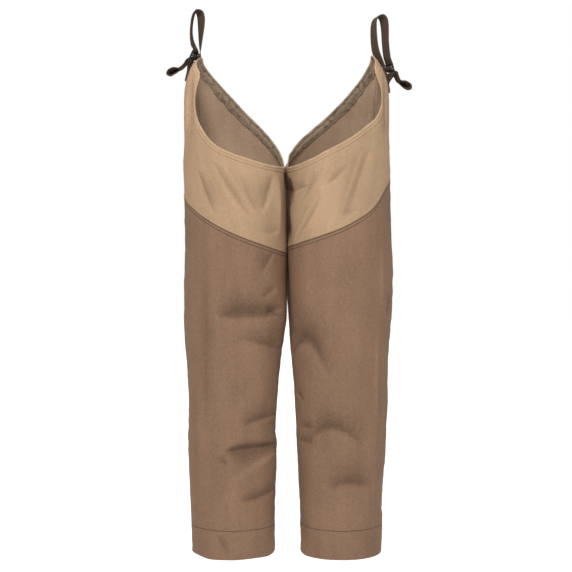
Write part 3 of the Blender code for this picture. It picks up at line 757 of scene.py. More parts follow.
class Piece:
    """A cloth or webbing piece: a grid of points that becomes a mesh with its own lengths as UVs."""

    def __init__(self, name, points, marks=None):
        self.name = name
        self.points = points
        self.marks = marks or {}

    def lengths(self):
        """The way across and down the grid in metres, measured along the cloth."""
        across = np.linalg.norm(np.diff(self.points, axis=1), axis=-1)
        across = np.concatenate((np.zeros((len(across), 1)), np.cumsum(across, axis=1)), axis=1)
        across = across - across[:, across.shape[1] // 2:across.shape[1] // 2 + 1]
        down = np.linalg.norm(np.diff(self.points, axis=0), axis=-1)
        down = np.concatenate((np.zeros((1, down.shape[1])), np.cumsum(down, axis=0)), axis=0)
        return across, down

    def build(self, materials, thickness, offset=-1.0, inside_slot=0, flip=False):
        """Makes the object with its wall, which goes inward unless the offset is 0."""
        rows, columns = self.points.shape[0] - 1, self.points.shape[1] - 1
        builder = bmesh.new()
        uv = builder.loops.layers.uv.new("UVMap")
        for name in self.marks:
            builder.verts.layers.float.new(name)
        layers = {name: builder.verts.layers.float[name] for name in self.marks}
        grid = bmesh.ops.create_grid(builder, x_segments=columns, y_segments=rows, size=1)["verts"]
        across, down = self.lengths()
        spots = {}
        for vertex in grid:
            column = round((vertex.co.x + 1) / 2 * columns)
            row = round((vertex.co.y + 1) / 2 * rows)
            spots[vertex] = (row, column)
            vertex.co = self.points[row, column]
            for name, layer in layers.items():
                vertex[layer] = float(self.marks[name][row, column])
        for face in builder.faces:
            for loop in face.loops:
                spot = spots[loop.vert]
                loop[uv].uv = (across[spot], down[spot])
        if flip:
            bmesh.ops.reverse_faces(builder, faces=builder.faces)
        made = as_object(self.name, builder, materials)
        wall = made.modifiers.new("wall", "SOLIDIFY")
        wall.thickness = thickness * MILLIMETRE
        wall.offset = offset
        wall.material_offset = inside_slot
        wall.material_offset_rim = 0
        return made


def as_object(name, builder, materials):
    """A smooth-shaded object at the origin from a bmesh."""
    mesh = bpy.data.meshes.new(name)
    builder.to_mesh(mesh)
    builder.free()
    mesh.shade_smooth()
    for material in materials:
        mesh.materials.append(material)
    made = bpy.data.objects.new(name, mesh)
    bpy.context.scene.collection.objects.link(made)
    return made


class Value:
    """A shader socket that takes part in ordinary sums."""

    def __init__(self, tree, socket):
        self.tree = tree
        self.socket = socket

    def maths(self, operation, *items):
        node = self.tree.nodes.new("ShaderNodeMath")
        node.operation = operation
        for place, item in zip(node.inputs, items):
            if isinstance(item, Value):
                self.tree.links.new(item.socket, place)
            else:
                place.default_value = item
        return Value(self.tree, node.outputs[0])

    def __add__(self, other):
        return self.maths("ADD", self, other)

    __radd__ = __add__

    def __mul__(self, other):
        return self.maths("MULTIPLY", self, other)

    __rmul__ = __mul__

    def __sub__(self, other):
        return self.maths("SUBTRACT", self, other)

    def __rsub__(self, other):
        return self.maths("SUBTRACT", other, self)

    def __truediv__(self, other):
        return self.maths("DIVIDE", self, other)

    def wave(self, length):
        """A wave from -1 to 1 with this length."""
        return self.maths("SINE", self * (2 * pi / length))

    def size(self):
        return self.maths("ABSOLUTE", self)

    def clamped(self, low=0.0, high=1.0):
        return self.maths("MINIMUM", self.maths("MAXIMUM", self, low), high)

    def line(self, place, width):
        """1 where the value is at a place, easing to 0 a width away."""
        return (1 - (self - place).size() / width).clamped()

    def swing(self, amount):
        """How far a pattern lies from its middle, times an amount."""
        return (self - 0.5) * amount


class Finish:
    """A material that is built node by node."""

    def __init__(self, name, roughness, gloss=0.5):
        self.material = bpy.data.materials.new(name)
        self.material.use_nodes = True
        self.tree = self.material.node_tree
        self.shader = self.tree.nodes["Principled BSDF"]
        self.shader.inputs["Roughness"].default_value = roughness
        self.shader.inputs["Specular IOR Level"].default_value = gloss

    def node(self, kind, settings=None, inputs=None, output=0):
        node = self.tree.nodes.new(kind)
        for name, value in (settings or {}).items():
            setattr(node, name, value)
        for place, value in (inputs or {}).items():
            if isinstance(value, Value):
                self.tree.links.new(value.socket, node.inputs[place])
            else:
                node.inputs[place].default_value = value
        return Value(self.tree, node.outputs[output])

    def noise(self, vector, scale, detail=2.0, roughness=0.5):
        return self.node("ShaderNodeTexNoise", {"noise_dimensions": "3D"},
                         {"Vector": vector, "Scale": scale, "Detail": detail, "Roughness": roughness})

    def stretched(self, vector, scale):
        return self.node("ShaderNodeMapping", {"vector_type": "POINT"}, {"Vector": vector, "Scale": scale})

    def place(self):
        """Where a point is in the object, in metres."""
        return self.node("ShaderNodeTexCoord", output=3)

    def lengths(self):
        """How far a point lies across and down the cloth, in metres, as a vector and as two numbers."""
        both = self.node("ShaderNodeUVMap", {"uv_map": "UVMap"})
        across = self.node("ShaderNodeSeparateXYZ", inputs={0: both}, output=0)
        return both, across, Value(self.tree, across.socket.node.outputs[1])

    def mark(self, name):
        return self.node("ShaderNodeAttribute", {"attribute_name": name}, output=2)

    def mix(self, share, first, second):
        """A colour between two, by a share from 0 to 1."""
        return self.node("ShaderNodeMix", {"data_type": "RGBA"}, {0: share, 6: first, 7: second}, output=2)

    def link(self, place, value):
        self.tree.links.new(value.socket, self.shader.inputs[place])

    def relief(self, height, distance, strength):
        inputs = {"Height": height, "Distance": distance, "Strength": strength}
        return self.node("ShaderNodeBump", inputs=inputs)


def shaded(colour, amount):
    """The same colour made lighter or darker."""
    return tuple(part * amount for part in colour[:3]) + (1.0,)


def woven_finish(name, colour, thread, roughness, grain, crease_shade, lines=(), specks=0.0):
    """Plain-woven cloth: threads, slubs, uneven dye, streaks of painted sheen, painted shade in the creases
    with a little painted light on their crests, and sewn lines painted darker as shade in their grooves.
    """
    cloth = Finish(name, roughness, CLOTH_GLOSS)
    where = cloth.place()
    both, across, down = cloth.lengths()
    weave = (across.wave(2 * thread) * down.wave(2 * thread)) * 0.5 + 0.5
    slub = cloth.noise(cloth.stretched(both, SLUB_STRETCH), SLUB_SCALE, detail=3.0)
    fleck = cloth.noise(where, FLECK_SCALE, detail=3.0)
    dye = cloth.noise(where, DYE_SCALE, detail=4.0)
    # Painted sheen: long streaks of lighter and darker tone in place of the cloth's uneven sheen.
    streak = cloth.noise(cloth.stretched(both, STREAK_STRETCH), STREAK_SCALE)
    tone = dye.swing(DYE_TINT) + streak.swing(STREAK_TINT) + slub.swing(grain) + fleck.swing(grain)
    # Painted shade in the creases and a little painted light on their crests, from how far the cloth stands in
    # or out.
    tone = tone + weave.swing(grain * WEAVE_TINT) + cloth.mark("rise").clamped(*RISE_LIMITS) * crease_shade + 0.5
    sewn = 0.0
    for mark, place, width in lines:
        sewn = cloth.mark(mark).line(place, width) + sewn
    if specks:
        spots = ((cloth.noise(where, SPECK_SCALE) - SPECK_START) * SPECK_GAIN).clamped()
        tone = tone - spots * specks
    blended = cloth.mix(tone.clamped(), shaded(colour, 0.6), shaded(colour, 1.4))
    # The sewn lines are painted darker: painted shade in their grooves, and along the yoke's seam the painted
    # shadow under the yoke's lower edge.
    if lines:
        blended = cloth.mix((sewn * GROOVE_TINT).clamped(), blended, shaded(colour, GROOVE_SHADE))
    cloth.link("Base Color", blended)
    relief = weave * 0.5 + slub * 0.5 + fleck * 0.35
    cloth.link("Normal", cloth.relief(relief - sewn * GROOVE_RELIEF if lines else relief, CLOTH_RELIEF, 0.7))
    return cloth.material


def webbing_finish(name, colour):
    """Ribbed woven tape: chevrons of heavy threads, and a firm edge."""
    tape = Finish(name, roughness=0.85, gloss=CLOTH_GLOSS)
    _, across, down = tape.lengths()
    rib = down.wave(RIB_LENGTH) * 0.5 + 0.5
    thread = (across + down * THREAD_SLANT).wave(WEBBING_THREAD) * 0.5 + 0.5
    fluff = tape.noise(tape.place(), scale=500.0)
    worn_edge = ((across.size() - WORN_EDGE) / WORN_EDGE_WIDTH).clamped() * WORN_EDGE_TINT
    tone = rib * 0.3 + thread * 0.35 + fluff * 0.35 + worn_edge
    tape.link("Base Color", tape.mix(tone.clamped(), shaded(colour, 0.6), shaded(colour, 1.5)))
    tape.link("Normal", tape.relief(rib * 0.6 + thread * 0.5 + fluff * 0.2, WEBBING_RELIEF, 0.8))
    return tape.material


def thread_finish(name, colour):
    """Twisted sewing thread."""
    thread = Finish(name, roughness=0.6, gloss=0.4)
    twist = thread.noise(thread.place(), scale=1500.0, detail=1.0)
    thread.link("Base Color", thread.mix(twist, shaded(colour, 0.8), shaded(colour, 1.2)))
    return thread.material


def plastic_finish(name, colour):
    """Moulded plastic with a fine grain and scuffed edges."""
    plastic = Finish(name, roughness=0.34)
    where = plastic.place()
    grain = plastic.noise(where, scale=1400.0)
    scuff = plastic.noise(where, scale=90.0, detail=4.0)
    dark, pale = shaded(colour, 0.9), shaded(colour, 2.4)
    plastic.link("Base Color", plastic.mix((scuff - 0.35).clamped(), dark, pale))
    plastic.link("Roughness", grain * 0.12 + scuff * 0.2 + 0.22)
    plastic.link("Normal", plastic.relief(grain, distance=0.0001, strength=0.4))
    return plastic.material


def finish_for(name):
    """The finish with this name, made the first time that it is asked for."""
    made = bpy.data.materials.get(name)
    if made:
        return made
    look = bpy.context.scene.chaps_cloth
    # For each cloth, the number after its grain sets how strongly painted shade darkens its creases.
    makers = {
        "khaki canvas": lambda: woven_finish(name, look.canvas, look.thread, roughness=0.86, grain=0.42,
                                             crease_shade=0.3, lines=YOKE_LINES),
        "brown nylon": lambda: woven_finish(name, look.nylon, look.thread, roughness=0.72, grain=0.6,
                                            crease_shade=0.5, lines=SHIELD_LINES),
        # Partly the nylon's lighter coated inner face and partly painted light, lighter to stand in for light
        # that the deep tube keeps out.
        "inside of the nylon": lambda: woven_finish(name, look.inside, look.thread, roughness=0.85, grain=0.5,
                                                    crease_shade=0.3),
        "bound edge": lambda: woven_finish(name, shaded(look.canvas, 1.04), look.thread, roughness=0.86,
                                           grain=0.3, crease_shade=0.1),
        "turned facing": lambda: woven_finish(name, look.facing, look.thread, roughness=0.88, grain=0.35,
                                              crease_shade=0.2, specks=0.6),
        "dark webbing": lambda: webbing_finish(name, look.webbing),
        "black plastic": lambda: plastic_finish(name, look.plastic),
        "khaki thread": lambda: thread_finish(name, shaded(look.canvas, 0.62)),
        "brown thread": lambda: thread_finish(name, shaded(look.nylon, 0.6)),
        "dark thread": lambda: thread_finish(name, shaded(look.webbing, 0.3)),
    }
    return makers[name]()


def place_on_part(piece, slot, *nodes):
    """Hands a piece to the frame: it rides on the part and stands for its solids."""
    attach(piece, BODY)
    if nodes:
        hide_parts(*nodes)


def cloth_marks(side, grid, front):
    """What paints shade on the cloth and grooves it: how far it stands out, which darkens its creases as
    painted shade, and its millimetres from the sewn lines.
    """
    angle, height = grid[..., 0], grid[..., 1]
    rise = (fold_lift(side, angle, height) + RUMPLE_TINT * rumple(side, angle, height)) / FULL_RISE
    seam = yoke_seam(side, angle) if front else np.full(angle.shape, NO_SEAM)
    return {"rise": rise, "below_seam": seam - height, "above_hem": height - HEM_SEAM}


def yoke_places(side):
    """The yoke's grid of places: a band along its top edge, and the cloth from there down to its seam."""
    edge, below = front_edge_places(side, YOKE_COLUMNS)
    angles = np.linspace(INSEAM, OUTSEAM, YOKE_COLUMNS + 1)
    seam = np.stack((angles, yoke_seam(side, angles)), -1)
    band = rows_between(edge, below, YOKE_BAND_ROWS)
    cloth = rows_between(below, seam, YOKE_ROWS)
    return np.concatenate((band[:-1], cloth))


def make_yoke(side):
    """The canvas front, from its top edge down to the seam."""
    grid = yoke_places(side)
    above = grid[..., 1] - yoke_seam(side, grid[..., 0])
    lift = SEAM_LIFT * soft_step(1 - above / SEAM_LIFT_REACH)
    piece = Piece("front_yoke_cloth_" + side, cloth_points(side, grid, lift), cloth_marks(side, grid, True))
    made = piece.build([finish_for("khaki canvas")], CANVAS_PLY, flip=SIDES[side] > 0)
    place_on_part(made, "canvas", "front_yoke_" + side)


def hem_turn(angles):
    """Rows that carry a panel round the hem's fold and up inside, with their outsets."""
    inside = np.arange(HEM_INSIDE_FROM, HEM_DEPTH + HEM_INSIDE_PAST, HEM_INSIDE_STEP)
    rows = [*HEM_FOLD, *((rise, HEM_INSIDE) for rise in inside)]
    grid = np.array([[(angle, HEM_HEIGHT + rise) for angle in angles] for rise, _ in rows])
    outsets = np.array([[outset] * len(angles) for _, outset in rows])
    return grid, outsets


def make_panel(name, side, top, rows, seams, materials, tuck_above=None):
    """A long panel from its top line down to the hem, where it is turned up inside."""
    top = np.asarray(top)
    bottom = np.stack((top[:, 0], np.full(len(top), HEM_HEIGHT + HEM_FOLD_START)), -1)
    grid = rows_between(top, bottom, rows)
    outset = over_underlap(grid, seams)
    if tuck_above is not None:
        outset = np.minimum(outset, TUCK * soft_step((grid[..., 1] - tuck_above(grid[..., 0])) / TUCK_EASE))
    turn, turned = hem_turn(top[:, 0])
    turned = turned + over_underlap(turn, seams)
    grid, outset = np.concatenate((grid, turn)), np.concatenate((outset, turned))
    piece = Piece(name, cloth_points(side, grid, outset), cloth_marks(side, grid, tuck_above is not None))
    return piece.build(materials, NYLON_PLY, inside_slot=1, flip=SIDES[side] > 0)


def make_shield(side):
    """The nylon front, from under the yoke down to the hem."""
    angles = np.linspace(INSEAM, OUTSEAM, SHIELD_COLUMNS + 1)
    top = np.stack((angles, yoke_seam(side, angles) + UNDERLAP), -1)
    made = make_panel("front_shield_cloth_" + side, side, top, SHIELD_ROWS, (INSEAM, OUTSEAM),
                      [finish_for("brown nylon"), finish_for("inside of the nylon")],
                      lambda at: yoke_seam(side, at))
    place_on_part(made, "nylon", "front_shield_" + side)


def make_back(side):
    """The nylon back, lapped under the front at both seams."""
    lap = UNDERLAP / DEGREE_OF_CLOTH
    angles = np.linspace(OUTSEAM - lap, FULL_TURN + lap, BACK_COLUMNS + 1)
    edge, _ = back_edge_places(side, np.clip(angles, OUTSEAM, FULL_TURN))
    lapped = (angles < OUTSEAM) | (angles > FULL_TURN)
    top = np.stack((angles, edge[:, 1] - LAP_DROP * lapped), -1)
    made = make_panel("back_panel_cloth_" + side, side, top, BACK_ROWS, (OUTSEAM, FULL_TURN),
                      [finish_for("brown nylon"), finish_for("inside of the nylon")])
    place_on_part(made, "nylon", "back_panel_" + side)


def way_along(line):
    """The distance along a line of points to each of them, in millimetres."""
    steps = np.linalg.norm(np.diff(line, axis=0), axis=-1)
    return np.concatenate(([0.0], np.cumsum(steps))) / MILLIMETRE


def make_band(name, side, lines, shape, ripple, finish):
    """A strip folded over an edge, with the ripples that its stitching draws."""
    along = way_along(cloth_points(side, lines[0]))
    seed = SEEDS[side] + BAND_SEED
    rows, outsets = [], []
    for share, outset in shape:
        rows.append(line_below(*lines, share))
        strength = ripple * (BAND_RIPPLE_LEAST + (1 - BAND_RIPPLE_LEAST) * abs(share))
        swell = wobble(along + BAND_RIPPLE_SHIFT * share, BAND_RIPPLE_STEP, seed) * strength
        outsets.append(outset + swell * np.sign(outset))
    grid, outsets = np.array(rows), np.array(outsets)
    piece = Piece(name, cloth_points(side, grid, outsets), {"rise": np.zeros(outsets.shape)})
    return piece.build([finish_for(finish)], STRIP_PLY, flip=SIDES[side] < 0)


def make_binding(side):
    """The bound top edge of the yoke."""
    lines = front_edge_places(side, BINDING_COLUMNS)
    made = make_band("front_binding_cloth_" + side, side, lines, BINDING_SHAPE, BINDING_RIPPLE, "bound edge")
    place_on_part(made, "canvas", "front_binding_" + side)


def make_facing(side):
    """The strip turned inside along the top edge of the back."""
    after, before = FACING_ENDS
    lines = back_edge_places(side, np.linspace(OUTSEAM + after, FULL_TURN - before, FACING_COLUMNS + 1))
    made = make_band("back_facing_cloth_" + side, side, lines, FACING_SHAPE, FACING_RIPPLE, "turned facing")
    place_on_part(made, "facing", "back_facing_" + side)


def sew(builder, side, places, outset):
    """Adds a row of stitches along a line of places, proud of the cloth by the outset."""
    line = cloth_points(side, places, outset)
    along = way_along(line)
    for middle in np.arange(STITCH_PITCH, along[-1] - STITCH_PITCH / 2, STITCH_PITCH):
        ends = [np.array([np.interp(at, along, line[:, axis]) for axis in range(3)])
                for at in (middle - STITCH_LENGTH / 2, middle + STITCH_LENGTH / 2)]
        where = [np.interp(middle, along, places[:, axis]) for axis in range(2)]
        out = outward_normals(side, *where) * (SIDES[side], 1, 1)
        add_stitch(builder, Vector(ends[0]), Vector(ends[1]), Vector(out))


def add_stitch(builder, start, end, out):
    """One stitch: a small bead drawn out from one hole to the next."""
    along = (end - start).normalized()
    across = out.cross(along).normalized()
    out = along.cross(across)
    turn = Matrix((along, across, out)).transposed().to_4x4()
    reach = (end - start).length / 2 * STITCH_OVERLAP
    width = STITCH_WIDTH / 2 * MILLIMETRE
    shape = Matrix.Translation((start + end) / 2) @ turn @ Matrix.Diagonal((reach, width, width, 1))
    bmesh.ops.create_icosphere(builder, subdivisions=1, radius=1, matrix=shape)


def line_below(edge, below, share):
    """The line that lies a share of the way from an edge to the line below it."""
    return edge * (1 - share) + below * share


def make_stitches(side):
    """The stitches on one leg: the front edge, both sides of the yoke's seam, the facing and the hem."""
    khaki, brown = bmesh.new(), bmesh.new()
    lines = front_edge_places(side, EDGE_STITCH_STEPS)
    for share, outset in EDGE_STITCH_ROWS:
        sew(khaki, side, line_below(*lines, share)[2:-2], outset)
    angles = np.linspace(INSEAM + 1, OUTSEAM - 1, YOKE_STITCH_STEPS)
    for builder, (rise, outset) in ((khaki, ABOVE_YOKE_SEAM), (brown, BELOW_YOKE_SEAM)):
        sew(builder, side, np.stack((angles, yoke_seam(side, angles) + rise), -1), outset)
    after, before = FACING_STITCH_ENDS
    lines = back_edge_places(side, np.linspace(OUTSEAM + after, FULL_TURN - before, FACING_STITCH_STEPS))
    for share in FACING_STITCH_SHARES:
        for outset in FACING_STITCH_OUTSETS:
            sew(brown, side, line_below(*lines, share), outset)
    angles = np.linspace(INSEAM, FULL_TURN, HEM_STITCH_STEPS)
    for outset in HEM_STITCH_OUTSETS:
        sew(brown, side, np.stack((angles, np.full(len(angles), HEM_SEAM)), -1), outset)
    for name, builder, slot in (("khaki", khaki, "canvas"), ("brown", brown, "nylon")):
        made = as_object(f"stitches_{name}_{side}", builder, [finish_for(name + " thread")])
        place_on_part(made, slot)


def wall_frame(side, angle, height, outset):
    """A place on the plain cloth for webbing to lie on: its middle, its width's direction and the way out."""
    out = outward_normals(side, angle, height)
    around = surface_slopes(side, angle, height)[0]
    middle = bare_points(side, angle, height) + outset * out
    return Vector(middle), Vector(around).normalized(), Vector(out)


def width_direction(turn):
    """The way that the webbing's width points: straight back, turned outward by an angle."""
    return Vector((sin(radians(turn)), cos(radians(turn)), 0.0))


def straight_distance(before, after):
    """How far apart two rows are that each begin with a place."""
    return hypot(*(b - a for a, b in zip(before[:3], after[:3])))


def free_frames(table, stations, roll):
    """Frames at even steps along a table of a free run of webbing, which leans over where it bends."""
    degrees, place, reach = roll
    curve = measured(table, straight_distance)
    rows = smooth_curve(curve, np.linspace(0, curve[-1][0], stations))
    centres = [Vector(row[:3]) for row in rows]
    frames = []
    for index, row in enumerate(rows):
        before, after = centres[max(index - 1, 0)], centres[min(index + 1, len(rows) - 1)]
        lean = radians(degrees) * float(bump(index / (len(rows) - 1) - place, reach))
        width = Matrix.Rotation(lean, 3, (after - before).normalized()) @ width_direction(row[3])
        frames.append((centres[index], width, width.cross(after - before).normalized()))
    return frames


def buckle_axes(side):
    """The buckle's middle of the top bar, and the directions down it, across it and out of it."""
    buckle = BUCKLES[side]
    top, bottom = Vector(buckle["top"]), Vector(buckle["bottom"])
    down = (bottom - top).normalized()
    across = width_direction(buckle["turn"])
    across = (across - across.dot(down) * down).normalized()
    return top, down, across, down.cross(across).normalized()


def buckle_frames(side, route):
    """Frames at each place of a route given as the way down the buckle and out of it."""
    top, down, across, out = buckle_axes(side)
    frames = []
    for index, (along, proud) in enumerate(route):
        before, after = route[max(index - 1, 0)], route[min(index + 1, len(route) - 1)]
        ahead = down * (after[0] - before[0]) + out * (after[1] - before[1])
        frames.append((top + down * along + out * proud, across, across.cross(ahead).normalized()))
    return frames


def threaded_frames(side):
    """The webbing passes over the top bar, behind the middle bar and out again above the lower bar."""
    (first_top, first_end), (second_top, second_end) = BUCKLE_SLOTS
    lift = BUCKLE_BAR / 2 + WEBBING / 2 + THREAD_GAP
    return buckle_frames(side, (
        (-THREAD_LEAD, lift), (first_top + THREAD_EASE, lift), ((first_top + first_end) / 2, 0.0),
        (first_end - THREAD_EASE, -lift), (second_top + THREAD_EASE, -lift), (second_top + THREAD_TURN, 0.0),
        (second_top + THREAD_EXIT, lift),
    ))


def make_ribbon(name, side, frames, thickness, step):
    """Webbing as one smooth ribbon through its frames, with its edges rounded."""
    rows = [(*centre, *width) for centre, width, _ in frames]
    curve = measured(rows, straight_distance)
    fine = smooth_curve(curve, np.arange(0, curve[-1][0], step))
    centre, width = fine[:, 0:3], fine[:, 3:6]
    width = width / np.linalg.norm(width, axis=-1, keepdims=True)
    across = np.linspace(-WEBBING_WIDTH / 2, WEBBING_WIDTH / 2, WEBBING_STRANDS + 1)
    piece = Piece(name, in_world(side, centre[:, None] + width[:, None] * across[None, :, None]))
    made = piece.build([finish_for("dark webbing")], thickness, offset=0.0)
    rounded = made.modifiers.new("selvedge", "BEVEL")
    rounded.width = SELVEDGE_ROUNDING * MILLIMETRE
    rounded.segments = SELVEDGE_SEGMENTS
    rounded.limit_method = "ANGLE"
    rounded.angle_limit = radians(SELVEDGE_ANGLE)
    return made


def make_belt_loop(side):
    """One length of webbing: its sewn end, the loop, the way through the buckle, and the tail."""
    outset = SEWN_OUTSET + WEBBING / 2
    sewn = [wall_frame(side, angle, height, outset) for angle, height in SEWN_ENDS[side]]
    frames = sewn + free_frames(LOOPS[side], LOOP_STATIONS, LOOP_LEANS[side]) + threaded_frames(side)
    frames += free_frames(TAILS[side], TAIL_STATIONS, TAIL_LEANS[side])
    made = make_ribbon("belt_loop_webbing_" + side, side, frames, LOOP_RIBBON, LOOP_RIBBON_STEP)
    place_on_part(made, "webbing", "belt_loop_" + side)


def make_tack(side):
    """The bar tack that holds the folded end of the webbing down on its tail."""
    builder = bmesh.new()
    centre, width, out = free_frames(TAILS[side], TAIL_STATIONS, TAIL_LEANS[side])[-1]
    along = width.cross(out)
    mirror = Vector((SIDES[side], 1, 1))
    for face in (-1, 1):
        for row in range(TACK_ROWS):
            proud = out * face * (WEBBING / 2 + TACK_LIFT)
            middle = centre + along * (row - TACK_ROWS / 2) * TACK_STEP + proud
            ends = [(middle + width * reach) * mirror * MILLIMETRE for reach in (-TACK_REACH, TACK_REACH)]
            add_stitch(builder, *ends, out * mirror * face)
    made = as_object("bar_tack_" + side, builder, [finish_for("dark thread")])
    place_on_part(made, "webbing")


def make_tab(side):
    """The short webbing folded round the buckle's lower bar, with both ends sewn to the hip tip."""
    clear = BUCKLE_BAR / 2 + TAB_WEBBING / 2 + TAB_GAP
    bar = (BUCKLE_SLOTS[1][1] + BUCKLE_LENGTH) / 2
    folded = buckle_frames(side, (
        (bar + TAB_REACH, -clear), (bar - TAB_SHOULDER, -clear), (bar - TAB_CROWN, -clear / 2),
        (bar - TAB_CROWN, clear / 2), (bar - TAB_SHOULDER, clear), (bar + TAB_REACH, clear),
    ))
    under_outset = TAB_OUTSET + TAB_WEBBING / 2
    over_outset = under_outset + TAB_WEBBING + TAB_GAP
    under = [wall_frame(side, angle, height, under_outset) for angle, height in TAB_ENDS[side]]
    over = [wall_frame(side, angle, height, over_outset) for angle, height in reversed(TAB_ENDS[side])]
    made = make_ribbon("buckle_tab_webbing_" + side, side, under + folded + over, TAB_RIBBON, TAB_RIBBON_STEP)
    place_on_part(made, "webbing", "buckle_tab_" + side)


def make_buckle(side):
    """A ladder buckle: a flat frame with two slots, its edges rounded as moulded plastic is."""
    top, down, across, out = buckle_axes(side)
    half = BUCKLE_OPENING / 2 + BUCKLE_RAIL
    columns = (-half, -BUCKLE_OPENING / 2, BUCKLE_OPENING / 2, half)
    rows = (0.0, *BUCKLE_SLOTS[0], *BUCKLE_SLOTS[1], BUCKLE_LENGTH)
    builder = bmesh.new()
    bmesh.ops.create_grid(builder, x_segments=BUCKLE_COLUMNS, y_segments=BUCKLE_ROWS, size=1)
    for vertex in builder.verts:
        column = round((vertex.co.x + 1) / 2 * BUCKLE_COLUMNS)
        row = round((vertex.co.y + 1) / 2 * BUCKLE_ROWS)
        vertex.co = (columns[column], rows[row], 0)
    slots = [face for face in builder.faces
             if abs(face.calc_center_median().x) < BUCKLE_RAIL
             and any(low < face.calc_center_median().y < high for low, high in BUCKLE_SLOTS)]
    bmesh.ops.delete(builder, geom=slots, context="FACES")
    raised = bmesh.ops.extrude_face_region(builder, geom=builder.faces[:])
    bmesh.ops.translate(builder, vec=(0, 0, BUCKLE_BAR),
                        verts=[item for item in raised["geom"] if isinstance(item, bmesh.types.BMVert)])
    bmesh.ops.recalc_face_normals(builder, faces=builder.faces)
    sharp = [edge for edge in builder.edges if edge.calc_face_angle(0.0) > SHARP_EDGE]
    bmesh.ops.bevel(builder, geom=sharp, offset=BUCKLE_ROUNDING, segments=BUCKLE_SEGMENTS, profile=0.5,
                    affect="EDGES", material=-1)
    turn = Matrix((across, down, out)).transposed().to_4x4()
    scale = Matrix.Diagonal((SIDES[side] * MILLIMETRE, MILLIMETRE, MILLIMETRE, 1))
    place = scale @ Matrix.Translation(top - out * BUCKLE_BAR / 2) @ turn
    bmesh.ops.transform(builder, matrix=place, verts=builder.verts)
    bmesh.ops.recalc_face_normals(builder, faces=builder.faces)
    made = as_object("buckle_frame_" + side, builder, [finish_for("black plastic")])
    place_on_part(made, "buckle", "buckle_" + side)


class ChapsCloth(PropertyGroup):
    """The colours of the cloth and fittings, and the size of the weave."""
    canvas: FloatVectorProperty(
        name="Canvas", description="Colour of the front yoke",
        subtype="COLOR", size=4, default=(0.378, 0.254, 0.155, 1.0))
    nylon: FloatVectorProperty(
        name="Nylon", description="Colour of the shield and the back",
        subtype="COLOR", size=4, default=(0.222, 0.132, 0.083, 1.0))
    # Partly the lighter coated inner face of the nylon and partly painted light: it is made much lighter than
    # the outside to stand in for light that the deep tube keeps from it.
    inside: FloatVectorProperty(
        name="Inside", description="Colour of the nylon's inner face",
        subtype="COLOR", size=4, default=(0.42, 0.292, 0.2, 1.0))
    facing: FloatVectorProperty(
        name="Facing", description="Colour of the strip inside the back's top edge",
        subtype="COLOR", size=4, default=(0.33, 0.245, 0.17, 1.0))
    webbing: FloatVectorProperty(
        name="Webbing", description="Colour of the belt loops",
        subtype="COLOR", size=4, default=(0.064, 0.044, 0.031, 1.0))
    plastic: FloatVectorProperty(
        name="Buckle", description="Colour of the buckles",
        subtype="COLOR", size=4, default=(0.012, 0.012, 0.014, 1.0))
    thread: FloatProperty(
        name="Thread", description="Spacing of the weave's threads",
        unit="LENGTH", default=0.0007, min=0.0002, max=0.003)


class ChapsStage(PropertyGroup):
    """The floor, the light and the camera."""
    floor_drop: FloatProperty(
        name="Floor drop", description="How far the floor lies below the hem",
        unit="LENGTH", default=0.12, min=0.0, max=1.0)
    key_power: FloatProperty(
        name="Key light", description="Power of the main light, in watts", default=86.0, min=0.0)
    fill_power: FloatProperty(
        name="Fill light", description="Power of the light from the other side, in watts",
        default=17.0, min=0.0)
    floor_power: FloatProperty(
        name="Floor light", description="Power of the light over the floor, in watts", default=300.0, min=0.0)
    sky: FloatProperty(
        name="Room light", description="Strength of the even light from the room", default=0.31, min=0.0)
    camera_lens: FloatProperty(
        name="Lens", description="Focal length in millimetres", default=86.0, min=10.0)


class ChapsPieceOperator:
    """What the operators for pieces share: the same piece is made on both legs."""
    bl_options = {"REGISTER", "UNDO"}

    def execute(self, context):
        for side in SIDES:
            for make in self.makers:
                make(side)
        return {"FINISHED"}


class CHAPS_OT_front_yokes(ChapsPieceOperator, Operator):
    """Add the canvas yoke to the front of both legs"""
    bl_idname = "chaps.front_yokes"
    bl_label = "Front yokes"
    makers = (make_yoke,)


class CHAPS_OT_front_shields(ChapsPieceOperator, Operator):
    """Add the nylon shield below the yoke on both legs"""
    bl_idname = "chaps.front_shields"
    bl_label = "Front shields"
    makers = (make_shield,)


class CHAPS_OT_back_panels(ChapsPieceOperator, Operator):
    """Add the nylon back panel to both legs"""
    bl_idname = "chaps.back_panels"
    bl_label = "Back panels"
    makers = (make_back,)


class CHAPS_OT_bindings(ChapsPieceOperator, Operator):
    """Add the turned front edge and the facing inside the back edge to both legs"""
    bl_idname = "chaps.bindings"
    bl_label = "Bindings and facings"
    makers = (make_binding, make_facing)


class CHAPS_OT_stitches(ChapsPieceOperator, Operator):
    """Add the rows of stitches to both legs"""
    bl_idname = "chaps.stitches"
    bl_label = "Stitches"
    makers = (make_stitches,)


class CHAPS_OT_webbing(ChapsPieceOperator, Operator):
    """Add the belt loops with their bar tacks, and the buckle tabs"""
    bl_idname = "chaps.webbing"
    bl_label = "Webbing"
    makers = (make_belt_loop, make_tack, make_tab)


class CHAPS_OT_buckles(ChapsPieceOperator, Operator):
    """Add the ladder buckles"""
    bl_idname = "chaps.buckles"
    bl_label = "Buckles"
    makers = (make_buckle,)


def aimed(place, aim):
    """The turn that points a lamp or a camera at what it is aimed at."""
    return (Vector(aim) - Vector(place)).to_track_quat("-Z", "Y").to_euler()


def add_area_light(name, place, aim, size, power):
    lamp = bpy.data.lights.new(name, "AREA")
    lamp.shape = "DISK"
    lamp.size = size
    lamp.energy = power
    made = bpy.data.objects.new(name, lamp)
    made.location = place
    made.rotation_euler = aimed(place, aim)
    bpy.context.scene.collection.objects.link(made)


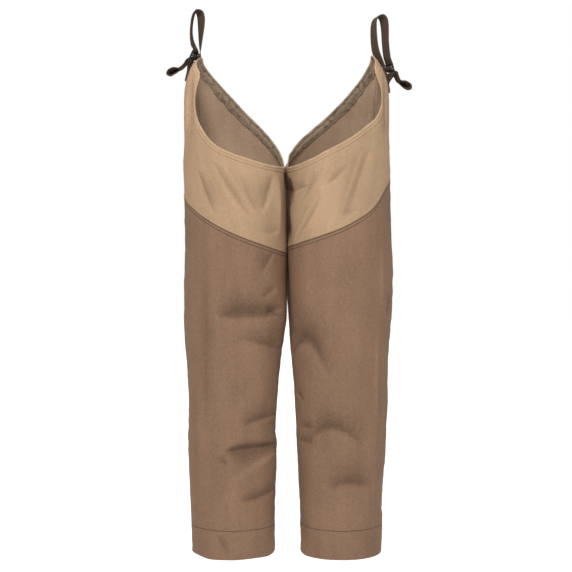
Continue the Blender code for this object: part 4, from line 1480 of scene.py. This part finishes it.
def light_room(tree, strength):
    """Even light from all round, with a plain white backdrop behind the chaps."""
    backdrop = tree.nodes["Background"]
    backdrop.inputs["Color"].default_value = WHITE
    room = tree.nodes.new("ShaderNodeBackground")
    room.inputs["Color"].default_value = WHITE
    room.inputs["Strength"].default_value = strength
    seen = tree.nodes.new("ShaderNodeLightPath")
    mixed = tree.nodes.new("ShaderNodeMixShader")
    tree.links.new(seen.outputs["Is Camera Ray"], mixed.inputs[0])
    tree.links.new(room.outputs[0], mixed.inputs[1])
    tree.links.new(backdrop.outputs[0], mixed.inputs[2])
    tree.links.new(mixed.outputs[0], tree.nodes["World Output"].inputs["Surface"])


class CHAPS_OT_stage(Operator):
    """Add the floor, the lights and the camera"""
    bl_idname = "chaps.stage"
    bl_label = "Stage"
    bl_options = {"REGISTER", "UNDO"}

    def execute(self, context):
        look = context.scene.chaps_stage
        builder = bmesh.new()
        bmesh.ops.create_grid(builder, x_segments=1, y_segments=1, size=FLOOR_REACH)
        floor_height = HEM_HEIGHT * MILLIMETRE - look.floor_drop
        bmesh.ops.translate(builder, vec=(0, 0, floor_height), verts=builder.verts)
        paper = Finish("pale floor", roughness=0.9)
        tone = paper.noise(paper.place(), scale=3.0)
        paper.link("Base Color", paper.mix(tone, *(shaded(WHITE, shade) for shade in FLOOR_SHADES)))
        paper.shader.inputs["Emission Color"].default_value = WHITE
        paper.shader.inputs["Emission Strength"].default_value = FLOOR_GLOW
        as_object("floor", builder, [paper.material])
        world = bpy.data.worlds.new("room")
        world.use_nodes = True
        light_room(world.node_tree, look.sky)
        context.scene.world = world
        context.scene.view_settings.view_transform = "Standard"
        for name, place, aim, size, power in LAMPS:
            add_area_light(name, place, aim, size, getattr(look, power))
        lens = bpy.data.cameras.new("camera")
        lens.lens = look.camera_lens
        lens.sensor_width = SENSOR_WIDTH
        camera = bpy.data.objects.new("camera", lens)
        camera.location = CAMERA_PLACE
        camera.rotation_euler = aimed(CAMERA_PLACE, CAMERA_AIM)
        context.scene.collection.objects.link(camera)
        context.scene.camera = camera
        return {"FINISHED"}


class CHAPS_PT_pieces(Panel):
    """Lists the pieces of the chaps, and the settings of their colours, weave and stage"""
    bl_label = "Upland chaps"
    bl_idname = "CHAPS_PT_pieces"
    bl_space_type = "VIEW_3D"
    bl_region_type = "UI"
    bl_category = "Chaps"

    def draw(self, context):
        column = self.layout.column()
        for operator in OPERATORS:
            column.operator(operator.bl_idname)
        for group in (context.scene.chaps_cloth, context.scene.chaps_stage):
            for name in group.bl_rna.properties.keys():
                if name not in ("rna_type", "name"):
                    column.prop(group, name)


OPERATORS = (CHAPS_OT_front_yokes, CHAPS_OT_front_shields, CHAPS_OT_back_panels, CHAPS_OT_bindings,
             CHAPS_OT_stitches, CHAPS_OT_webbing, CHAPS_OT_buckles, CHAPS_OT_stage)
CLASSES = (ChapsCloth, ChapsStage, *OPERATORS, CHAPS_PT_pieces)


def register():
    for item in CLASSES:
        bpy.utils.register_class(item)
    bpy.types.Scene.chaps_cloth = PointerProperty(type=ChapsCloth)
    bpy.types.Scene.chaps_stage = PointerProperty(type=ChapsStage)


def unregister():
    del bpy.types.Scene.chaps_stage
    del bpy.types.Scene.chaps_cloth
    for item in reversed(CLASSES):
        bpy.utils.unregister_class(item)


def main():
    register()
    bpy.ops.chaps.stage()
    bpy.ops.chaps.front_yokes()
    bpy.ops.chaps.front_shields()
    bpy.ops.chaps.back_panels()
    bpy.ops.chaps.bindings()
    bpy.ops.chaps.stitches()
    bpy.ops.chaps.webbing()
    bpy.ops.chaps.buckles()


if __name__ == "__main__":
    main()
